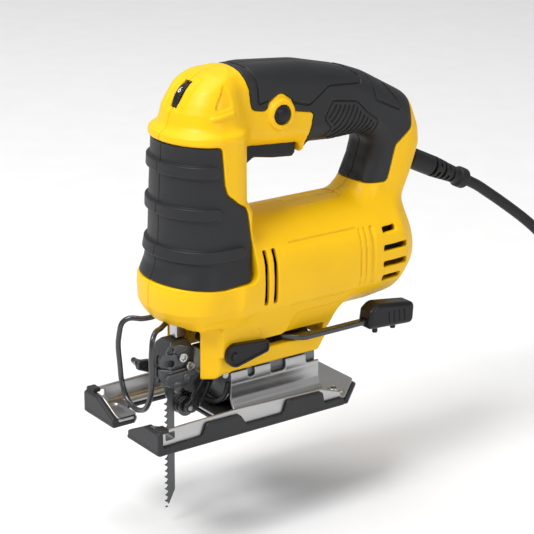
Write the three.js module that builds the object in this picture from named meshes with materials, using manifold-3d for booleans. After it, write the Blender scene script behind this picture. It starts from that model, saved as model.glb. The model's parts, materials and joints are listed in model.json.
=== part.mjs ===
// Corded top-handle jigsaw, built as separate pieces: clamshell housing with rubber grips, motor and
// gear train, scotch-yoke plunger, tool-free blade clamp, orbit fork and roller, tilting shoe, cord.
// Millimetres. +X points to the blade end, +Y to the operator's left, +Z up.
// The origin is on the underside of the shoe, on its centre line, behind the blade opening.
import * as THREE from 'three';
import { mergeVertices } from 'three/addons/utils/BufferGeometryUtils.js';
import Module from 'manifold-3d';

const wasm = await Module();
wasm.setup();

// ---------------------------------------------------------------- driving dimensions
const GAP = 0.3; // clearance kept between pieces that touch

const HEAD_TOP_Z = 207;
const COLUMN_REAR_X = -3;
const WALL = 4; // housing wall, grips included
const SKIN = 1.7; // rubber grip thickness

const MOTOR_Z = 84.5;
const BARREL_RADIUS = 36.5;
const BARREL_FRONT_X = -3.5;
const BARREL_REAR_X = -131.5;
const REAR_BEARING_X = -120;

const HANDLE_HALF_WIDTH = 18;
const HANDLE_ROUNDING = 11;
const HANDLE_UNDERSIDE_Z = 156;
const TRIGGER_REAR_X = -46;
const TRIGGER_FRONT_X = -8.6;
const TRIGGER_HALF_WIDTH = 9.8;
const LOCK_BUTTON = { x: -29, z: 178.8, radius: 5.8, bossRadius: 9.3 };
const DIAL = { x: 19, z: 188, radius: 13, halfWidth: 2.8 };

const LOWER_HALF_WIDTH = 27;
const LOWER_WALL_INSIDE = 23;

const SHOE = { front: 71, rear: -86, halfWidth: 41, coverThickness: 2, plateThickness: 2 };
const PLATE_BOTTOM_Z = SHOE.coverThickness + GAP;
const PLATE_TOP_Z = PLATE_BOTTOM_Z + SHOE.plateThickness;
const PLATE_HALF_WIDTH = 38.8;
const BLADE_OPENING = { rear: 17, front: 52, halfWidth: 28 };
const SIGHT_SLOT_HALF_WIDTH = 7.5;

const BEVEL_AXIS_Z = 26;
const CRADLE_OUTER_RADIUS = 21;
const CRADLE_INNER_RADIUS = 19.2;
const CRADLE = { front: 7.5, rear: -57 };
const CRADLE_SWEEP_RADIUS = 26; // room in the housing for the cradle's legs as the shoe tilts
const BEVEL_BOLT_X = -28;
const BEVEL_ARM = { bottom: 44, top: 47 };

const PLUNGER_X = 31;
const PLUNGER_SIDE = 7;
const BLADE = { back: 34, front: 41, top: 42, tip: -56.2, thickness: 1.2, toothPitch: 3.9 };
const CLAMP = { rear: 25, front: 45.5, halfWidth: 8.5, bottom: 23.4, top: 51 };
const ROLLER = { x: 27.7, z: 7.6, radius: 6, halfWidth: 4.4 };
const FORK_PIVOT = { x: 12.5, z: 30 };
const SELECTOR = { x: 10.5, z: 44.5, shaftRadius: 3.2 };

const GEAR_MODULE = 1.05;
const PINION_TEETH = 8;
const GEAR_TEETH = 42;
const GEAR_Z = MOTOR_Z + GEAR_MODULE * (PINION_TEETH + GEAR_TEETH) / 2;
const CRANK_RADIUS = 9;
const YOKE = { rear: 22, front: 27.2 };

const FLOOR_Z = -66; // surface that the loose cord lies on, just below the blade's lowest reach
const CORD_RADIUS = 3.5;
const COIL = { x: -406, y: 10, meanRadius: 40, halfBundle: 11 };
const PLUG = { x: -374, y: -35.5, radius: 11, length: 46, pinLength: 19, pinSpacing: 19 };

// ---------------------------------------------------------------- colours
const paint = (color, roughness, metalness = 0) =>
  new THREE.MeshStandardMaterial({ color, roughness, metalness });
const yellow = paint(0xf5bd12, 0.45);
const rubber = paint(0x3a3b3d, 0.8);
const blackPlastic = paint(0x1d1e20, 0.5);
const greyPlastic = paint(0x4a4b4d, 0.6);
const steel = paint(0xb9bbbd, 0.35, 1);
const darkSteel = paint(0x55585b, 0.45, 1);
const blackSteel = paint(0x191a1c, 0.4, 0.6);
const castAlloy = paint(0x8d8f92, 0.55, 1);
const copper = paint(0xb5703c, 0.35, 1);
const bronze = paint(0x9c7a45, 0.4, 1);
const carbon = paint(0x26262a, 0.7);
const board = paint(0x1f5a36, 0.6);

// ---------------------------------------------------------------- solid helpers
const AXES = {
  x: [new THREE.Vector3(0, 1, 0), new THREE.Vector3(0, 0, 1), new THREE.Vector3(1, 0, 0)],
  y: [new THREE.Vector3(0, 0, 1), new THREE.Vector3(1, 0, 0), new THREE.Vector3(0, 1, 0)],
  z: [new THREE.Vector3(1, 0, 0), new THREE.Vector3(0, 1, 0), new THREE.Vector3(0, 0, 1)],
};

// A closed three.js geometry as a solid that can be joined and cut.
function solid(geometry) {
  geometry.deleteAttribute('normal');
  geometry.deleteAttribute('uv');
  const merged = mergeVertices(geometry, 1e-4);
  const corners = merged.index.array;
  const triangles = [];
  for (let i = 0; i < corners.length; i += 3) {
    const [a, b, c] = [corners[i], corners[i + 1], corners[i + 2]];
    if (a !== b && b !== c && c !== a) triangles.push(a, b, c);
  }
  return new wasm.Manifold(new wasm.Mesh({
    numProp: 3,
    vertProperties: new Float32Array(merged.attributes.position.array),
    triVerts: new Uint32Array(triangles),
  }));
}

const join = (...solids) => solids.reduce((whole, next) => whole.add(next));
const cut = (body, ...tools) => tools.reduce((rest, tool) => rest.subtract(tool), body);
const both = (make) => join(make(1), make(-1)); // a shape on the left and its twin on the right

// Outline [first, second, cornerRadius] -> points, each rounded corner drawn as a short curve.
function outline(corners, steps = 2) {
  const points = [];
  corners.forEach(([x, y, radius = 0], i) => {
    const corner = new THREE.Vector2(x, y);
    const before = new THREE.Vector2(...corners.at(i - 1).slice(0, 2)).sub(corner);
    const after = new THREE.Vector2(...corners[(i + 1) % corners.length].slice(0, 2)).sub(corner);
    if (!radius) {
      points.push(corner);
      return;
    }
    const start = before.setLength(Math.min(radius, before.length() * 0.48)).add(corner);
    const end = after.setLength(Math.min(radius, after.length() * 0.48)).add(corner);
    points.push(...new THREE.QuadraticBezierCurve(start, corner, end).getPoints(steps));
  });
  return points;
}

// An outline drawn across an axis (yz for x, zx for y, xy for z) and extruded from one place to another.
function prism(axis, corners, from, to, { bevel = 0, inset = 0, steps = 2 } = {}) {
  const geometry = new THREE.ExtrudeGeometry(new THREE.Shape(outline(corners, steps)), {
    depth: to - from - 2 * (bevel + Math.max(inset, 0)),
    steps: 1,
    bevelEnabled: bevel !== 0 || inset !== 0,
    bevelThickness: bevel,
    bevelSize: bevel,
    bevelOffset: -bevel - inset,
    bevelSegments: bevel > 5 ? 2 : 1,
  });
  geometry.translate(0, 0, from + bevel + Math.max(inset, 0));
  geometry.applyMatrix4(new THREE.Matrix4().makeBasis(...AXES[axis]));
  return solid(geometry);
}

// Side-view outlines are easier to read as (x, z); the y prism wants (z, x).
const sideView = (corners) => corners.map(([x, z, radius]) => [z, x, radius]);
const sidePrism = (corners, from, to, options) => prism('y', sideView(corners), from, to, options);

function box(x0, x1, y0, y1, z0, z1) {
  const geometry = new THREE.BoxGeometry(x1 - x0, y1 - y0, z1 - z0);
  geometry.translate((x0 + x1) / 2, (y0 + y1) / 2, (z0 + z1) / 2);
  return solid(geometry);
}

// A round rod along an axis; centre is its place on the other two axes, in the order of prism.
function rod(axis, [first, second], radius, from, to, sides = 20, farRadius = radius) {
  const geometry = new THREE.CylinderGeometry(farRadius, radius, to - from, sides);
  geometry.rotateX(Math.PI / 2);
  geometry.translate(first, second, (from + to) / 2);
  geometry.applyMatrix4(new THREE.Matrix4().makeBasis(...AXES[axis]));
  return solid(geometry);
}

// Profile [radius, place] turned about the X axis at height z.
function turnedX(profile, z, sides = 24) {
  const geometry = new THREE.LatheGeometry(profile.map(([r, x]) => new THREE.Vector2(r, x)), sides);
  geometry.rotateZ(-Math.PI / 2);
  geometry.translate(0, 0, z);
  return solid(geometry);
}

function sector(axis, [first, second], radius, fromDegrees, toDegrees, from, to) {
  const points = [[first, second]];
  for (let step = 0; step <= 14; step += 1) {
    const angle = THREE.MathUtils.degToRad(fromDegrees + (toDegrees - fromDegrees) * step / 14);
    points.push([first + radius * Math.cos(angle), second + radius * Math.sin(angle)]);
  }
  return prism(axis, points, from, to);
}

// A round bar along a smooth path.
function bar(points, radius, { sides = 8, steps = 60, closed = false } = {}) {
  const section = new THREE.Shape();
  for (let side = 0; side < sides; side += 1) {
    const angle = 2 * Math.PI * side / sides;
    const place = [radius * Math.cos(angle), radius * Math.sin(angle)];
    if (side === 0) section.moveTo(...place);
    else section.lineTo(...place);
  }
  const path = new THREE.CatmullRomCurve3(points, closed, 'centripetal');
  return solid(new THREE.ExtrudeGeometry(section, { steps, extrudePath: path, bevelEnabled: false }));
}

const jigsaw = new THREE.Group();

// Cuts can leave slivers of no volume beside a piece, so only its largest solid is placed.
const largest = (body) => body.decompose().sort((a, b) => b.volume() - a.volume())[0];

function place(name, body, material) {
  const { vertProperties, triVerts } = largest(body).getMesh();
  const geometry = new THREE.BufferGeometry();
  geometry.setAttribute('position', new THREE.BufferAttribute(vertProperties, 3));
  geometry.setIndex(new THREE.BufferAttribute(triVerts, 1));
  const mesh = new THREE.Mesh(geometry, material);
  mesh.name = name;
  jigsaw.add(mesh);
}

// ---------------------------------------------------------------- housing forms
// Column sections from the floor to the head: height, rear, front, half width.
const COLUMN_SECTIONS = [
  [66, 0, 46, 27],
  [74, -1, 50.6, 33],
  [88, -1, 50.7, 33.5],
  [97, -2, 46.5, 32],
  [109, COLUMN_REAR_X, 44.2, 31],
  [169, COLUMN_REAR_X, 42.2, 30.4],
  [171, COLUMN_REAR_X, 44.4, 31.8],
  [174.5, COLUMN_REAR_X, 43.6, 31.2],
  [177.5, COLUMN_REAR_X, 38, 27],
  [187, COLUMN_REAR_X, 35, 25],
  [195, COLUMN_REAR_X, 30, 22.8],
  [201, -4, 25, 20],
  [205.5, -5, 16, 15.6],
  [HEAD_TOP_Z, -6, 8, 10],
];

// The column is round in front and square with soft corners behind.
function column(inset) {
  const sides = 18;
  const floors = COLUMN_SECTIONS.length - 1;
  const geometry = new THREE.CylinderGeometry(1, 1, 1, sides, floors);
  const position = geometry.attributes.position;
  const rounded = (value) => Math.sign(value) * Math.abs(value) ** 0.4;
  for (let i = 0; i < position.count; i += 1) {
    const floor = Math.round((position.getY(i) + 0.5) * floors);
    const [height, rear, front, halfWidth] = COLUMN_SECTIONS[floor];
    const along = position.getX(i);
    const across = -position.getZ(i);
    const middle = front - Math.min(halfWidth, (front - rear) / 2);
    const reach = along > 0 ? front - inset - middle : middle - rear - inset;
    const x = middle + reach * (along > 0 ? along : rounded(along));
    const y = (halfWidth - inset) * (along > 0 ? across : rounded(across));
    const z = THREE.MathUtils.clamp(height, 66 + inset, HEAD_TOP_Z - inset);
    position.setXYZ(i, x, y, z);
  }
  return solid(geometry);
}

const HANDLE_OUTLINE = [
  [14, 204],
  [-20, 208, 40],
  [-82, 201, 50],
  [-128, 173, 28],
  [-136.5, 160],
  [-138.6, 147],
  [-133, 128],
  [-126, 112],
  [-125, 92],
  [-92, 92],
  [-92, 124],
  [-101, 149, 9],
  [-96, HANDLE_UNDERSIDE_Z, 6],
  [-50, HANDLE_UNDERSIDE_Z],
  [-46, 157.5],
  [-8, 161.5],
  [6, 162],
];

const triggerLip = () => sidePrism([
  [-50.5, 158],
  [-49.2, 153.4],
  [TRIGGER_REAR_X - 0.6, 152.4],
  [TRIGGER_REAR_X - 0.6, 164],
  [-50.5, 164],
], -12.5, 12.5);

const handle = (inset) => sidePrism(HANDLE_OUTLINE, -HANDLE_HALF_WIDTH, HANDLE_HALF_WIDTH, {
  bevel: HANDLE_ROUNDING - inset,
  inset,
});

function barrel(inset, front = BARREL_FRONT_X) {
  const radius = BARREL_RADIUS - inset;
  const rear = BARREL_REAR_X + inset;
  return turnedX([
    [0, rear],
    [radius * 0.42, rear + 1.5],
    [radius * 0.74, rear + 7],
    [radius * 0.93, rear + 17],
    [radius, rear + 31],
    [radius, front],
    [0, front],
  ], MOTOR_Z, 20);
}

const LOWER_OUTLINE = [
  [32, 78],
  [32, 34, 3],
  [27, 29, 2],
  [20, 31, 3],
  [-56, 31, 3],
  [-64, 45],
  [-73, 60],
  [-80, 72],
  [-80, 78],
];

// The lower housing is open underneath, where the shoe's cradle tilts up into it.
const LOWER_CAVITY_OUTLINE = [
  [28, 62],
  [28, 20],
  [-57.6, 20],
  [-57.6, 44],
  [-62, 50],
  [-69, 62],
];

// The chin's corners are cut off, so that the plunger and the clamp show from the side.
const chinCorners = (inset) => both((side) => prism('z', [
  [32.3, 11],
  [15.3, 31],
  [40, 31],
  [40, 11],
].map(([x, y]) => [x - inset, side * (y - inset)]), 15, 62));
const lowerHousing = () => cut(
  sidePrism(LOWER_OUTLINE, -LOWER_HALF_WIDTH, LOWER_HALF_WIDTH, { bevel: 2 }),
  chinCorners(0),
);
const lowerCavity = () => cut(
  sidePrism(LOWER_CAVITY_OUTLINE, -LOWER_WALL_INSIDE, LOWER_WALL_INSIDE),
  chinCorners(2.5),
);

const FRONT_GRIP_OUTLINE = [
  [70, 170],
  [18, 169.5, 4],
  [16.5, 146, 6],
  [5, 133, 6],
  [-1, 112, 3],
  [-2.5, 88.5, 4],
  [20, 87, 5],
  [70, 90],
];

const HANDLE_GRIP_OUTLINE = [
  [-7, 215],
  [-7.6, 184.5, 4],
  [-19, 187, 4],
  [-28.6, 193, 7],
  [-38, 187, 4],
  [-52, 183, 5],
  [-53.5, 176.5, 4],
  [-50, 158],
  [-49.5, 146],
  [-87, 146],
  [-87, 131],
  [-106, 128.5, 3],
  [-112, 152, 8],
  [-125, 164, 5],
  [-131, 215],
];

const GRIP_SIDE = 45; // past the widest side of the housing
const gripZone = (corners, grow) => sidePrism(corners, -GRIP_SIDE, GRIP_SIDE, { inset: -grow });
const half = (side) => (side > 0
  ? box(-160, 80, GAP / 2, GRIP_SIDE, 20, 215)
  : box(-160, 80, -GRIP_SIDE, -GAP / 2, 20, 215));

const columnBack = (halfWidth) => box(-6, 4, -halfWidth, halfWidth, 80, 175); // left bare

const frontGrip = () => cut(column(0), column(SKIN), columnBack(27))
  .intersect(gripZone(FRONT_GRIP_OUTLINE, 0));
const handleGrip = () => cut(handle(0), handle(SKIN))
  .intersect(gripZone(HANDLE_GRIP_OUTLINE, 0));
const gripRecesses = () => [
  cut(gripZone(FRONT_GRIP_OUTLINE, GAP), column(SKIN + GAP), columnBack(27 - GAP)),
  cut(gripZone(HANDLE_GRIP_OUTLINE, GAP), handle(SKIN + GAP)),
];

// ---------------------------------------------------------------- housing
const SCREW_PLACES = [
  [43, 80],
  [2, 176.5],
  [-52, 168],
  [-120, 168],
  [-118, 104],
  [-108, 60],
].map(([x, z]) => ({ x, z }));
const SCREW_RADIUS = 2;
const SCREW_HEAD_RADIUS = 3.4;

const STRAIN_RELIEF_ANGLE = Math.atan2(-20.8, -44.7); // the cord leaves downwards and to the rear
const STRAIN_RELIEF_START = new THREE.Vector3(-129, 0, 137.8);

// A profile [radius, distance] turned about the line that the cord leaves along.
function turnedAlongExit(profile, sides = 20) {
  const geometry = new THREE.LatheGeometry(profile.map(([r, d]) => new THREE.Vector2(r, d)), sides);
  geometry.rotateZ(-Math.PI / 2);
  geometry.rotateY(-STRAIN_RELIEF_ANGLE);
  geometry.translate(...STRAIN_RELIEF_START);
  return solid(geometry);
}

const screwHoles = () => SCREW_PLACES.flatMap(({ x, z }) => [
  rod('y', [z, x], SCREW_RADIUS + GAP, -40, 10, 8),
  rod('y', [z, x], SCREW_HEAD_RADIUS + GAP, -40, -11.5, 12),
]);

function housing() {
  const outside = join(
    column(0),
    handle(0),
    triggerLip(),
    barrel(0),
    lowerHousing(),
    rod('y', [SELECTOR.z, SELECTOR.x], 10.5, LOWER_HALF_WIDTH - 1, LOWER_HALF_WIDTH + 0.4, 20),
    rod('y', [LOCK_BUTTON.z, LOCK_BUTTON.x], LOCK_BUTTON.bossRadius, 15, HANDLE_HALF_WIDTH + 1.2, 20, 8.2),
  );
  const inside = join(
    column(WALL),
    handle(WALL),
    barrel(WALL, 6),
    lowerCavity(),
  );
  const seats = [
    box(20, 42, -29, 29, 134, 140),
    rod('x', [0, MOTOR_Z], 34, REAR_BEARING_X - 2, REAR_BEARING_X + 2, 16),
  ];
  const plungerPocket = box(14, 60, -17, 17, 20, 66 - GAP);
  const leverSlot = box(-57, -13, 18, 40, 42.4, 49);
  const frontVents = [-8.5, -15].map((x) => both((side) => box(x - 1.4, x + 1.4,
    Math.min(side * 24, side * 40), Math.max(side * 24, side * 40), 71, 102)));
  const rearVents = [[71.5, -110], [80.5, -113], [90.5, -113], [101.3, -107]].map(([z, rear]) => both(
    (side) => box(rear, -94.5, Math.min(side * 18, side * 40), Math.max(side * 18, side * 40), z - 2, z + 2),
  ));
  const dialWindow = box(19, 38, -3.4, 3.4, 192, 205);
  const openings = [
    plungerPocket,
    leverSlot,
    ...frontVents,
    ...rearVents,
    dialWindow,
    rod('y', [DIAL.z, DIAL.x], DIAL.radius + GAP, -DIAL.halfWidth - GAP, DIAL.halfWidth + GAP, 32),
    rod('x', [0, BEVEL_AXIS_Z], CRADLE_SWEEP_RADIUS, CRADLE.rear - 0.4, CRADLE.front + 1.5, 40),
    rod('z', [PLUNGER_X, 0], 7.5 + GAP, 60, 150, 16),
    rod('y', [LOCK_BUTTON.z, LOCK_BUTTON.x], LOCK_BUTTON.radius + GAP, 8, 25, 16),
    rod('y', [SELECTOR.z, SELECTOR.x], SELECTOR.shaftRadius + GAP, 5, 30, 12),
    box(TRIGGER_REAR_X - 0.6, TRIGGER_FRONT_X + 0.6,
      -TRIGGER_HALF_WIDTH - 0.6, TRIGGER_HALF_WIDTH + 0.6, 150, 170),
    turnedAlongExit([[0, 0], [7, 0], [7, 30], [0, 30]], 16),
    rod('x', [0, MOTOR_Z], 8 + GAP, REAR_BEARING_X - 8, REAR_BEARING_X + 19, 16),
    ...[6, -6].map((y) => rod('z', [42, y], 2, 60, 76, 12)),
  ];
  const bosses = SCREW_PLACES.map(({ x, z }) => rod('y', [z, x], 4.6, -26, 26, 8));
  const ribbed = join(cut(outside, inside), join(...bosses, ...seats).intersect(outside));
  return cut(ribbed, ...openings, ...screwHoles(), ...gripRecesses());
}

const frontGripSkin = frontGrip();
const handleGripSkin = cut(
  handleGrip(),
  rod('y', [LOCK_BUTTON.z, LOCK_BUTTON.x], LOCK_BUTTON.bossRadius + GAP, 0, 30, 20),
  ...screwHoles(),
);
const wholeHousing = housing();
for (const [side, name] of [[1, 'left'], [-1, 'right']]) {
  place(`housing_${name}`, wholeHousing.intersect(half(side)), yellow);
  place(`front_grip_${name}`, frontGripSkin.intersect(half(side)), rubber);
  place(`handle_grip_${name}`, handleGripSkin.intersect(half(side)), rubber);
}

SCREW_PLACES.forEach(({ x, z }, index) => {
  place(`housing_screw_${index + 1}`, join(
    rod('y', [z, x], SCREW_RADIUS, -12, 8, 8),
    rod('y', [z, x], SCREW_HEAD_RADIUS, -14, -11.8, 12),
  ), darkSteel);
});

// ---------------------------------------------------------------- controls on the handle
place('trigger', sidePrism([
  [TRIGGER_REAR_X, 168],
  [TRIGGER_REAR_X, 152],
  [-44, 149.7],
  [-17, 153.2],
  [-11, 150],
  [TRIGGER_FRONT_X, 151],
  [TRIGGER_FRONT_X, 168],
], -TRIGGER_HALF_WIDTH, TRIGGER_HALF_WIDTH, { bevel: 1.5 }), blackPlastic);

place('lock_button', rod(
  'y', [LOCK_BUTTON.z, LOCK_BUTTON.x], LOCK_BUTTON.radius, 12, HANDLE_HALF_WIDTH + 2.6, 24, 5.2,
), blackPlastic);

place('switch_module', join(
  box(-42, -3, -9, 9, 174, 196),
  box(-30, -14, -4, 4, 173.5, 175),
), blackPlastic);

place('speed_dial', join(
  rod('y', [DIAL.z, DIAL.x], DIAL.radius, -DIAL.halfWidth, DIAL.halfWidth, 24),
  rod('y', [DIAL.z, DIAL.x], 2, -6, 6, 12),
), blackPlastic);

place('speed_control_board', join(
  box(3, 26, -11, 11, 166, 168),
  box(8, 22, -8, 8, 167.5, 172),
), board);

// ---------------------------------------------------------------- motor
const ARMATURE = { coreRear: -91, coreFront: -51, coreRadius: 14.2, shaftRadius: 3 };
const FRONT_BEARING_X = -6;
const GEAR_X = { rear: 6, front: 12.5 };

// Teeth with flat tops, a little slimmer than the gaps so that a pair runs freely.
function gearOutline(teeth, firstToothDegrees) {
  const pitch = 2 * Math.PI / teeth;
  const pitchRadius = GEAR_MODULE * teeth / 2;
  const root = pitchRadius - 1.15 * GEAR_MODULE;
  const tip = pitchRadius + 0.85 * GEAR_MODULE;
  const corners = [[root, -0.3], [tip, -0.1], [tip, 0.1], [root, 0.3]];
  const points = [];
  for (let tooth = 0; tooth < teeth; tooth += 1) {
    const middle = THREE.MathUtils.degToRad(firstToothDegrees) + tooth * pitch;
    for (const [radius, share] of corners) {
      const angle = middle + share * pitch;
      points.push([radius * Math.cos(angle), radius * Math.sin(angle)]);
    }
  }
  return points;
}

const ring = (axis, centre, outer, inner, from, to, sides = 24) => cut(
  rod(axis, centre, outer, from, to, sides),
  rod(axis, centre, inner, from - 1, to + 1, sides),
);
const shift = (points, across, up) => points.map(([y, z]) => [y + across, z + up]);
const MOTOR_AXIS = [0, MOTOR_Z];
const GEAR_AXIS = [0, GEAR_Z];

place('armature', join(
  rod('x', MOTOR_AXIS, ARMATURE.shaftRadius, REAR_BEARING_X - 3.5, 13.8, 16),
  rod('x', MOTOR_AXIS, ARMATURE.coreRadius, ARMATURE.coreRear, ARMATURE.coreFront, 24),
  rod('x', MOTOR_AXIS, 11.5, ARMATURE.coreRear - 6, ARMATURE.coreFront + 6, 20),
  prism('x', shift(gearOutline(PINION_TEETH, 90), 0, MOTOR_Z), GEAR_X.rear - 0.5, GEAR_X.front + 1),
), darkSteel);

place('commutator', ring('x', MOTOR_AXIS, 9, ARMATURE.shaftRadius + GAP, -112, -99), copper);

function fan() {
  const blades = [];
  for (let blade = 0; blade < 10; blade += 1) {
    const vane = box(-34.5, -26, -0.8, 0.8, 8, 26.5);
    blades.push(vane.rotate([blade * 36, 0, 0]).translate([0, 0, MOTOR_Z]));
  }
  const hub = join(
    rod('x', MOTOR_AXIS, 27, -36.5, -34, 30),
    rod('x', MOTOR_AXIS, 9, -36.5, -26, 20),
  );
  return cut(join(hub, ...blades), rod('x', MOTOR_AXIS, ARMATURE.shaftRadius + GAP, -40, -20, 16));
}
place('cooling_fan', fan(), blackPlastic);

place('motor_stator', cut(
  join(
    rod('x', MOTOR_AXIS, 28, -88, -54, 28),
    ring('x', MOTOR_AXIS, 24, 16, -94, -48, 20),
  ),
  rod('x', MOTOR_AXIS, 15.2, -101, -41, 28),
  both((side) => box(-89, -53, Math.min(side * 24, side * 40), Math.max(side * 24, side * 40), 60, 110)),
), darkSteel);

const bearing = (x, outer) => ring('x', MOTOR_AXIS, outer, ARMATURE.shaftRadius + GAP, x - 3, x + 3, 20);
place('front_bearing', bearing(FRONT_BEARING_X, 8), steel);
place('rear_bearing', bearing(REAR_BEARING_X, 8), steel);

place('gear_plate', cut(
  rod('x', MOTOR_AXIS, 32 - GAP, -9, -3, 32),
  rod('x', MOTOR_AXIS, 8 + GAP, -10, 0, 20),
  rod('x', GEAR_AXIS, 4 + GAP, -10, 0, 16),
), castAlloy);

for (const [side, name] of [[1, 'left'], [-1, 'right']]) {
  const span = (near, far, x0, x1, z0, z1) => box(x0, x1,
    Math.min(side * near, side * far), Math.max(side * near, side * far), z0, z1);
  place(`carbon_brush_${name}`, span(9.4, 20, -109, -102, MOTOR_Z - 3, MOTOR_Z + 3), carbon);
  place(`brush_holder_${name}`, cut(
    span(12, 26, -111.5, -99.5, MOTOR_Z - 5.5, MOTOR_Z + 5.5),
    span(8, 21, -109 - GAP, -102 + GAP, MOTOR_Z - 3 - GAP, MOTOR_Z + 3 + GAP),
  ), bronze);
}

// ---------------------------------------------------------------- gear and plunger
// The crank pin stops just short of the yoke's slot: the two would only meet along a sine curve.
place('drive_gear', cut(
  join(
    prism('x', shift(gearOutline(GEAR_TEETH, -90 + 180 / GEAR_TEETH), 0, GEAR_Z), GEAR_X.rear, GEAR_X.front),
    rod('x', GEAR_AXIS, 8, GEAR_X.rear - 2, GEAR_X.rear + 1, 20),
    rod('x', [CRANK_RADIUS, GEAR_Z], 3.6, GEAR_X.front - 1, YOKE.rear - GAP, 16),
  ),
  rod('x', GEAR_AXIS, 4 + GAP, 0, 20, 16),
), darkSteel);

place('gear_axle', rod('x', GEAR_AXIS, 4, -8.5, 15, 16), steel);

const plungerHalf = PLUNGER_SIDE / 2;
place('plunger', cut(
  join(
    box(PLUNGER_X - plungerHalf, PLUNGER_X + plungerHalf, -plungerHalf, plungerHalf, CLAMP.top + GAP, 152),
    sidePrism([
      [YOKE.rear, GEAR_Z - 8.5],
      [YOKE.front + 1, GEAR_Z - 8.5],
      [YOKE.front + 1, GEAR_Z + 8.5],
      [YOKE.rear, GEAR_Z + 8.5],
    ], -16.5, 16.5),
  ),
  box(YOKE.rear - 1, PLUNGER_X - plungerHalf - 0.4, -13.2, 13.2, GEAR_Z - 4.2, GEAR_Z + 4.2),
), steel);

const bush = (bottom, top) => cut(
  rod('z', [PLUNGER_X, 0], 7.5, bottom, top, 20),
  box(PLUNGER_X - plungerHalf - GAP, PLUNGER_X + plungerHalf + GAP,
    -plungerHalf - GAP, plungerHalf + GAP, bottom - 1, top + 1),
);
place('lower_bush', bush(66.5, 76), bronze);
place('upper_bush', bush(133, 141), bronze);

// ---------------------------------------------------------------- blade clamp
const CLAMP_PIN = { x: 31.6, z: 29.5 };
const CLAMP_SCREWS = [{ x: 33.5, z: 41.5 }, { x: 28.6, z: 35.5 }];
const CLAMP_RECESS_Y = -2;

place('blade_clamp', cut(
  sidePrism([
    [28, CLAMP.top],
    [CLAMP.rear, 44],
    [CLAMP.rear, 31],
    [28, CLAMP.bottom],
    [41, CLAMP.bottom],
    [CLAMP.front, 29],
    [CLAMP.front, 41],
    [39, CLAMP.top],
  ], -CLAMP.halfWidth, CLAMP.halfWidth, { bevel: 1.2 }),
  box(BLADE.back - GAP, 60, -BLADE.thickness / 2 - GAP, BLADE.thickness / 2 + GAP, 0, BLADE.top + GAP),
  box(38, 60, -12, CLAMP_RECESS_Y - 3.4, 24.5, 39),
  rod('y', [CLAMP_PIN.z, CLAMP_PIN.x], 1.6 + GAP, -12, 12, 12),
  ...CLAMP_SCREWS.map(({ x, z }) => rod('y', [z, x], 2.2 + GAP, 4, 12, 14)),
), castAlloy);

CLAMP_SCREWS.forEach(({ x, z }, index) => {
  place(`clamp_screw_${index + 1}`, join(
    rod('y', [z, x], 2.2, 4.5, CLAMP.halfWidth + 0.5, 12),
    rod('y', [z, x], 2.9, CLAMP.halfWidth + GAP, CLAMP.halfWidth + 1.8, 12),
  ), steel);
});

place('clamp_pin', join(
  rod('y', [CLAMP_PIN.z, CLAMP_PIN.x], 1.6, -CLAMP.halfWidth - 4, CLAMP.halfWidth + 0.6, 12),
  rod('y', [CLAMP_PIN.z, CLAMP_PIN.x], 2.4, CLAMP.halfWidth + GAP, CLAMP.halfWidth + 1.4, 12),
), steel);

place('clamp_lever', cut(
  join(
    sidePrism([
      [30, 33.5],
      [30.5, 26],
      [38, 25.5],
      [52.5, 31.5],
      [53, 37.5],
      [45, 36.5],
      [38, 34],
    ], -CLAMP.halfWidth - 4, -CLAMP.halfWidth - GAP, { bevel: 0.8 }),
    sidePrism([
      [47.5, 34.6],
      [47, 31],
      [52.5, 33],
      [53, 37],
    ], -CLAMP.halfWidth - 9, -CLAMP.halfWidth - 3),
  ),
  rod('y', [CLAMP_PIN.z, CLAMP_PIN.x], 1.6 + GAP, -20, 0, 12),
), blackSteel);

function bladeOutline() {
  const points = [
    [BLADE.back, BLADE.top],
    [BLADE.back, -45.5],
    [BLADE.front - 1.2, BLADE.tip],
  ];
  const teeth = Math.floor((14 - BLADE.tip) / BLADE.toothPitch);
  for (let tooth = 0; tooth < teeth; tooth += 1) {
    const z = BLADE.tip + 0.4 + tooth * BLADE.toothPitch;
    points.push([BLADE.front, z], [BLADE.front - 2, z + BLADE.toothPitch * 0.62]);
  }
  points.push([BLADE.front - 1.4, 16], [BLADE.front - 0.6, 20], [BLADE.front - 0.6, BLADE.top]);
  return points;
}
place('blade', sidePrism(bladeOutline(), -BLADE.thickness / 2, BLADE.thickness / 2), darkSteel);

// ---------------------------------------------------------------- orbit fork and selector
place('orbit_fork', cut(
  sidePrism([
    [FORK_PIVOT.x - 4.5, FORK_PIVOT.z + 4, 3],
    [FORK_PIVOT.x - 4, FORK_PIVOT.z - 5, 4],
    [17, 10, 4],
    [24, 3.6, 3],
    [31, 4.5, 3],
    [31, 10, 2],
    [26, 13, 2],
    [FORK_PIVOT.x + 5, FORK_PIVOT.z - 4, 3],
    [FORK_PIVOT.x + 4, 40.8],
    [FORK_PIVOT.x - 3, 40.8],
  ], -7.4, 7.4),
  rod('y', [ROLLER.z, ROLLER.x], ROLLER.radius + 0.8, -ROLLER.halfWidth - GAP, ROLLER.halfWidth + GAP, 24),
  box(24, 40, -ROLLER.halfWidth - GAP, ROLLER.halfWidth + GAP, 0, 20),
  rod('y', [ROLLER.z, ROLLER.x], 1.5 + GAP, -10, 10, 12),
  rod('y', [FORK_PIVOT.z, FORK_PIVOT.x], 2 + GAP, -10, 10, 12),
), blackSteel);

place('fork_pin', rod('y', [FORK_PIVOT.z, FORK_PIVOT.x], 2, -22.6, 22.6, 12), steel);
place('roller_pin', rod('y', [ROLLER.z, ROLLER.x], 1.5, -8, 8, 12), steel);

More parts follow.
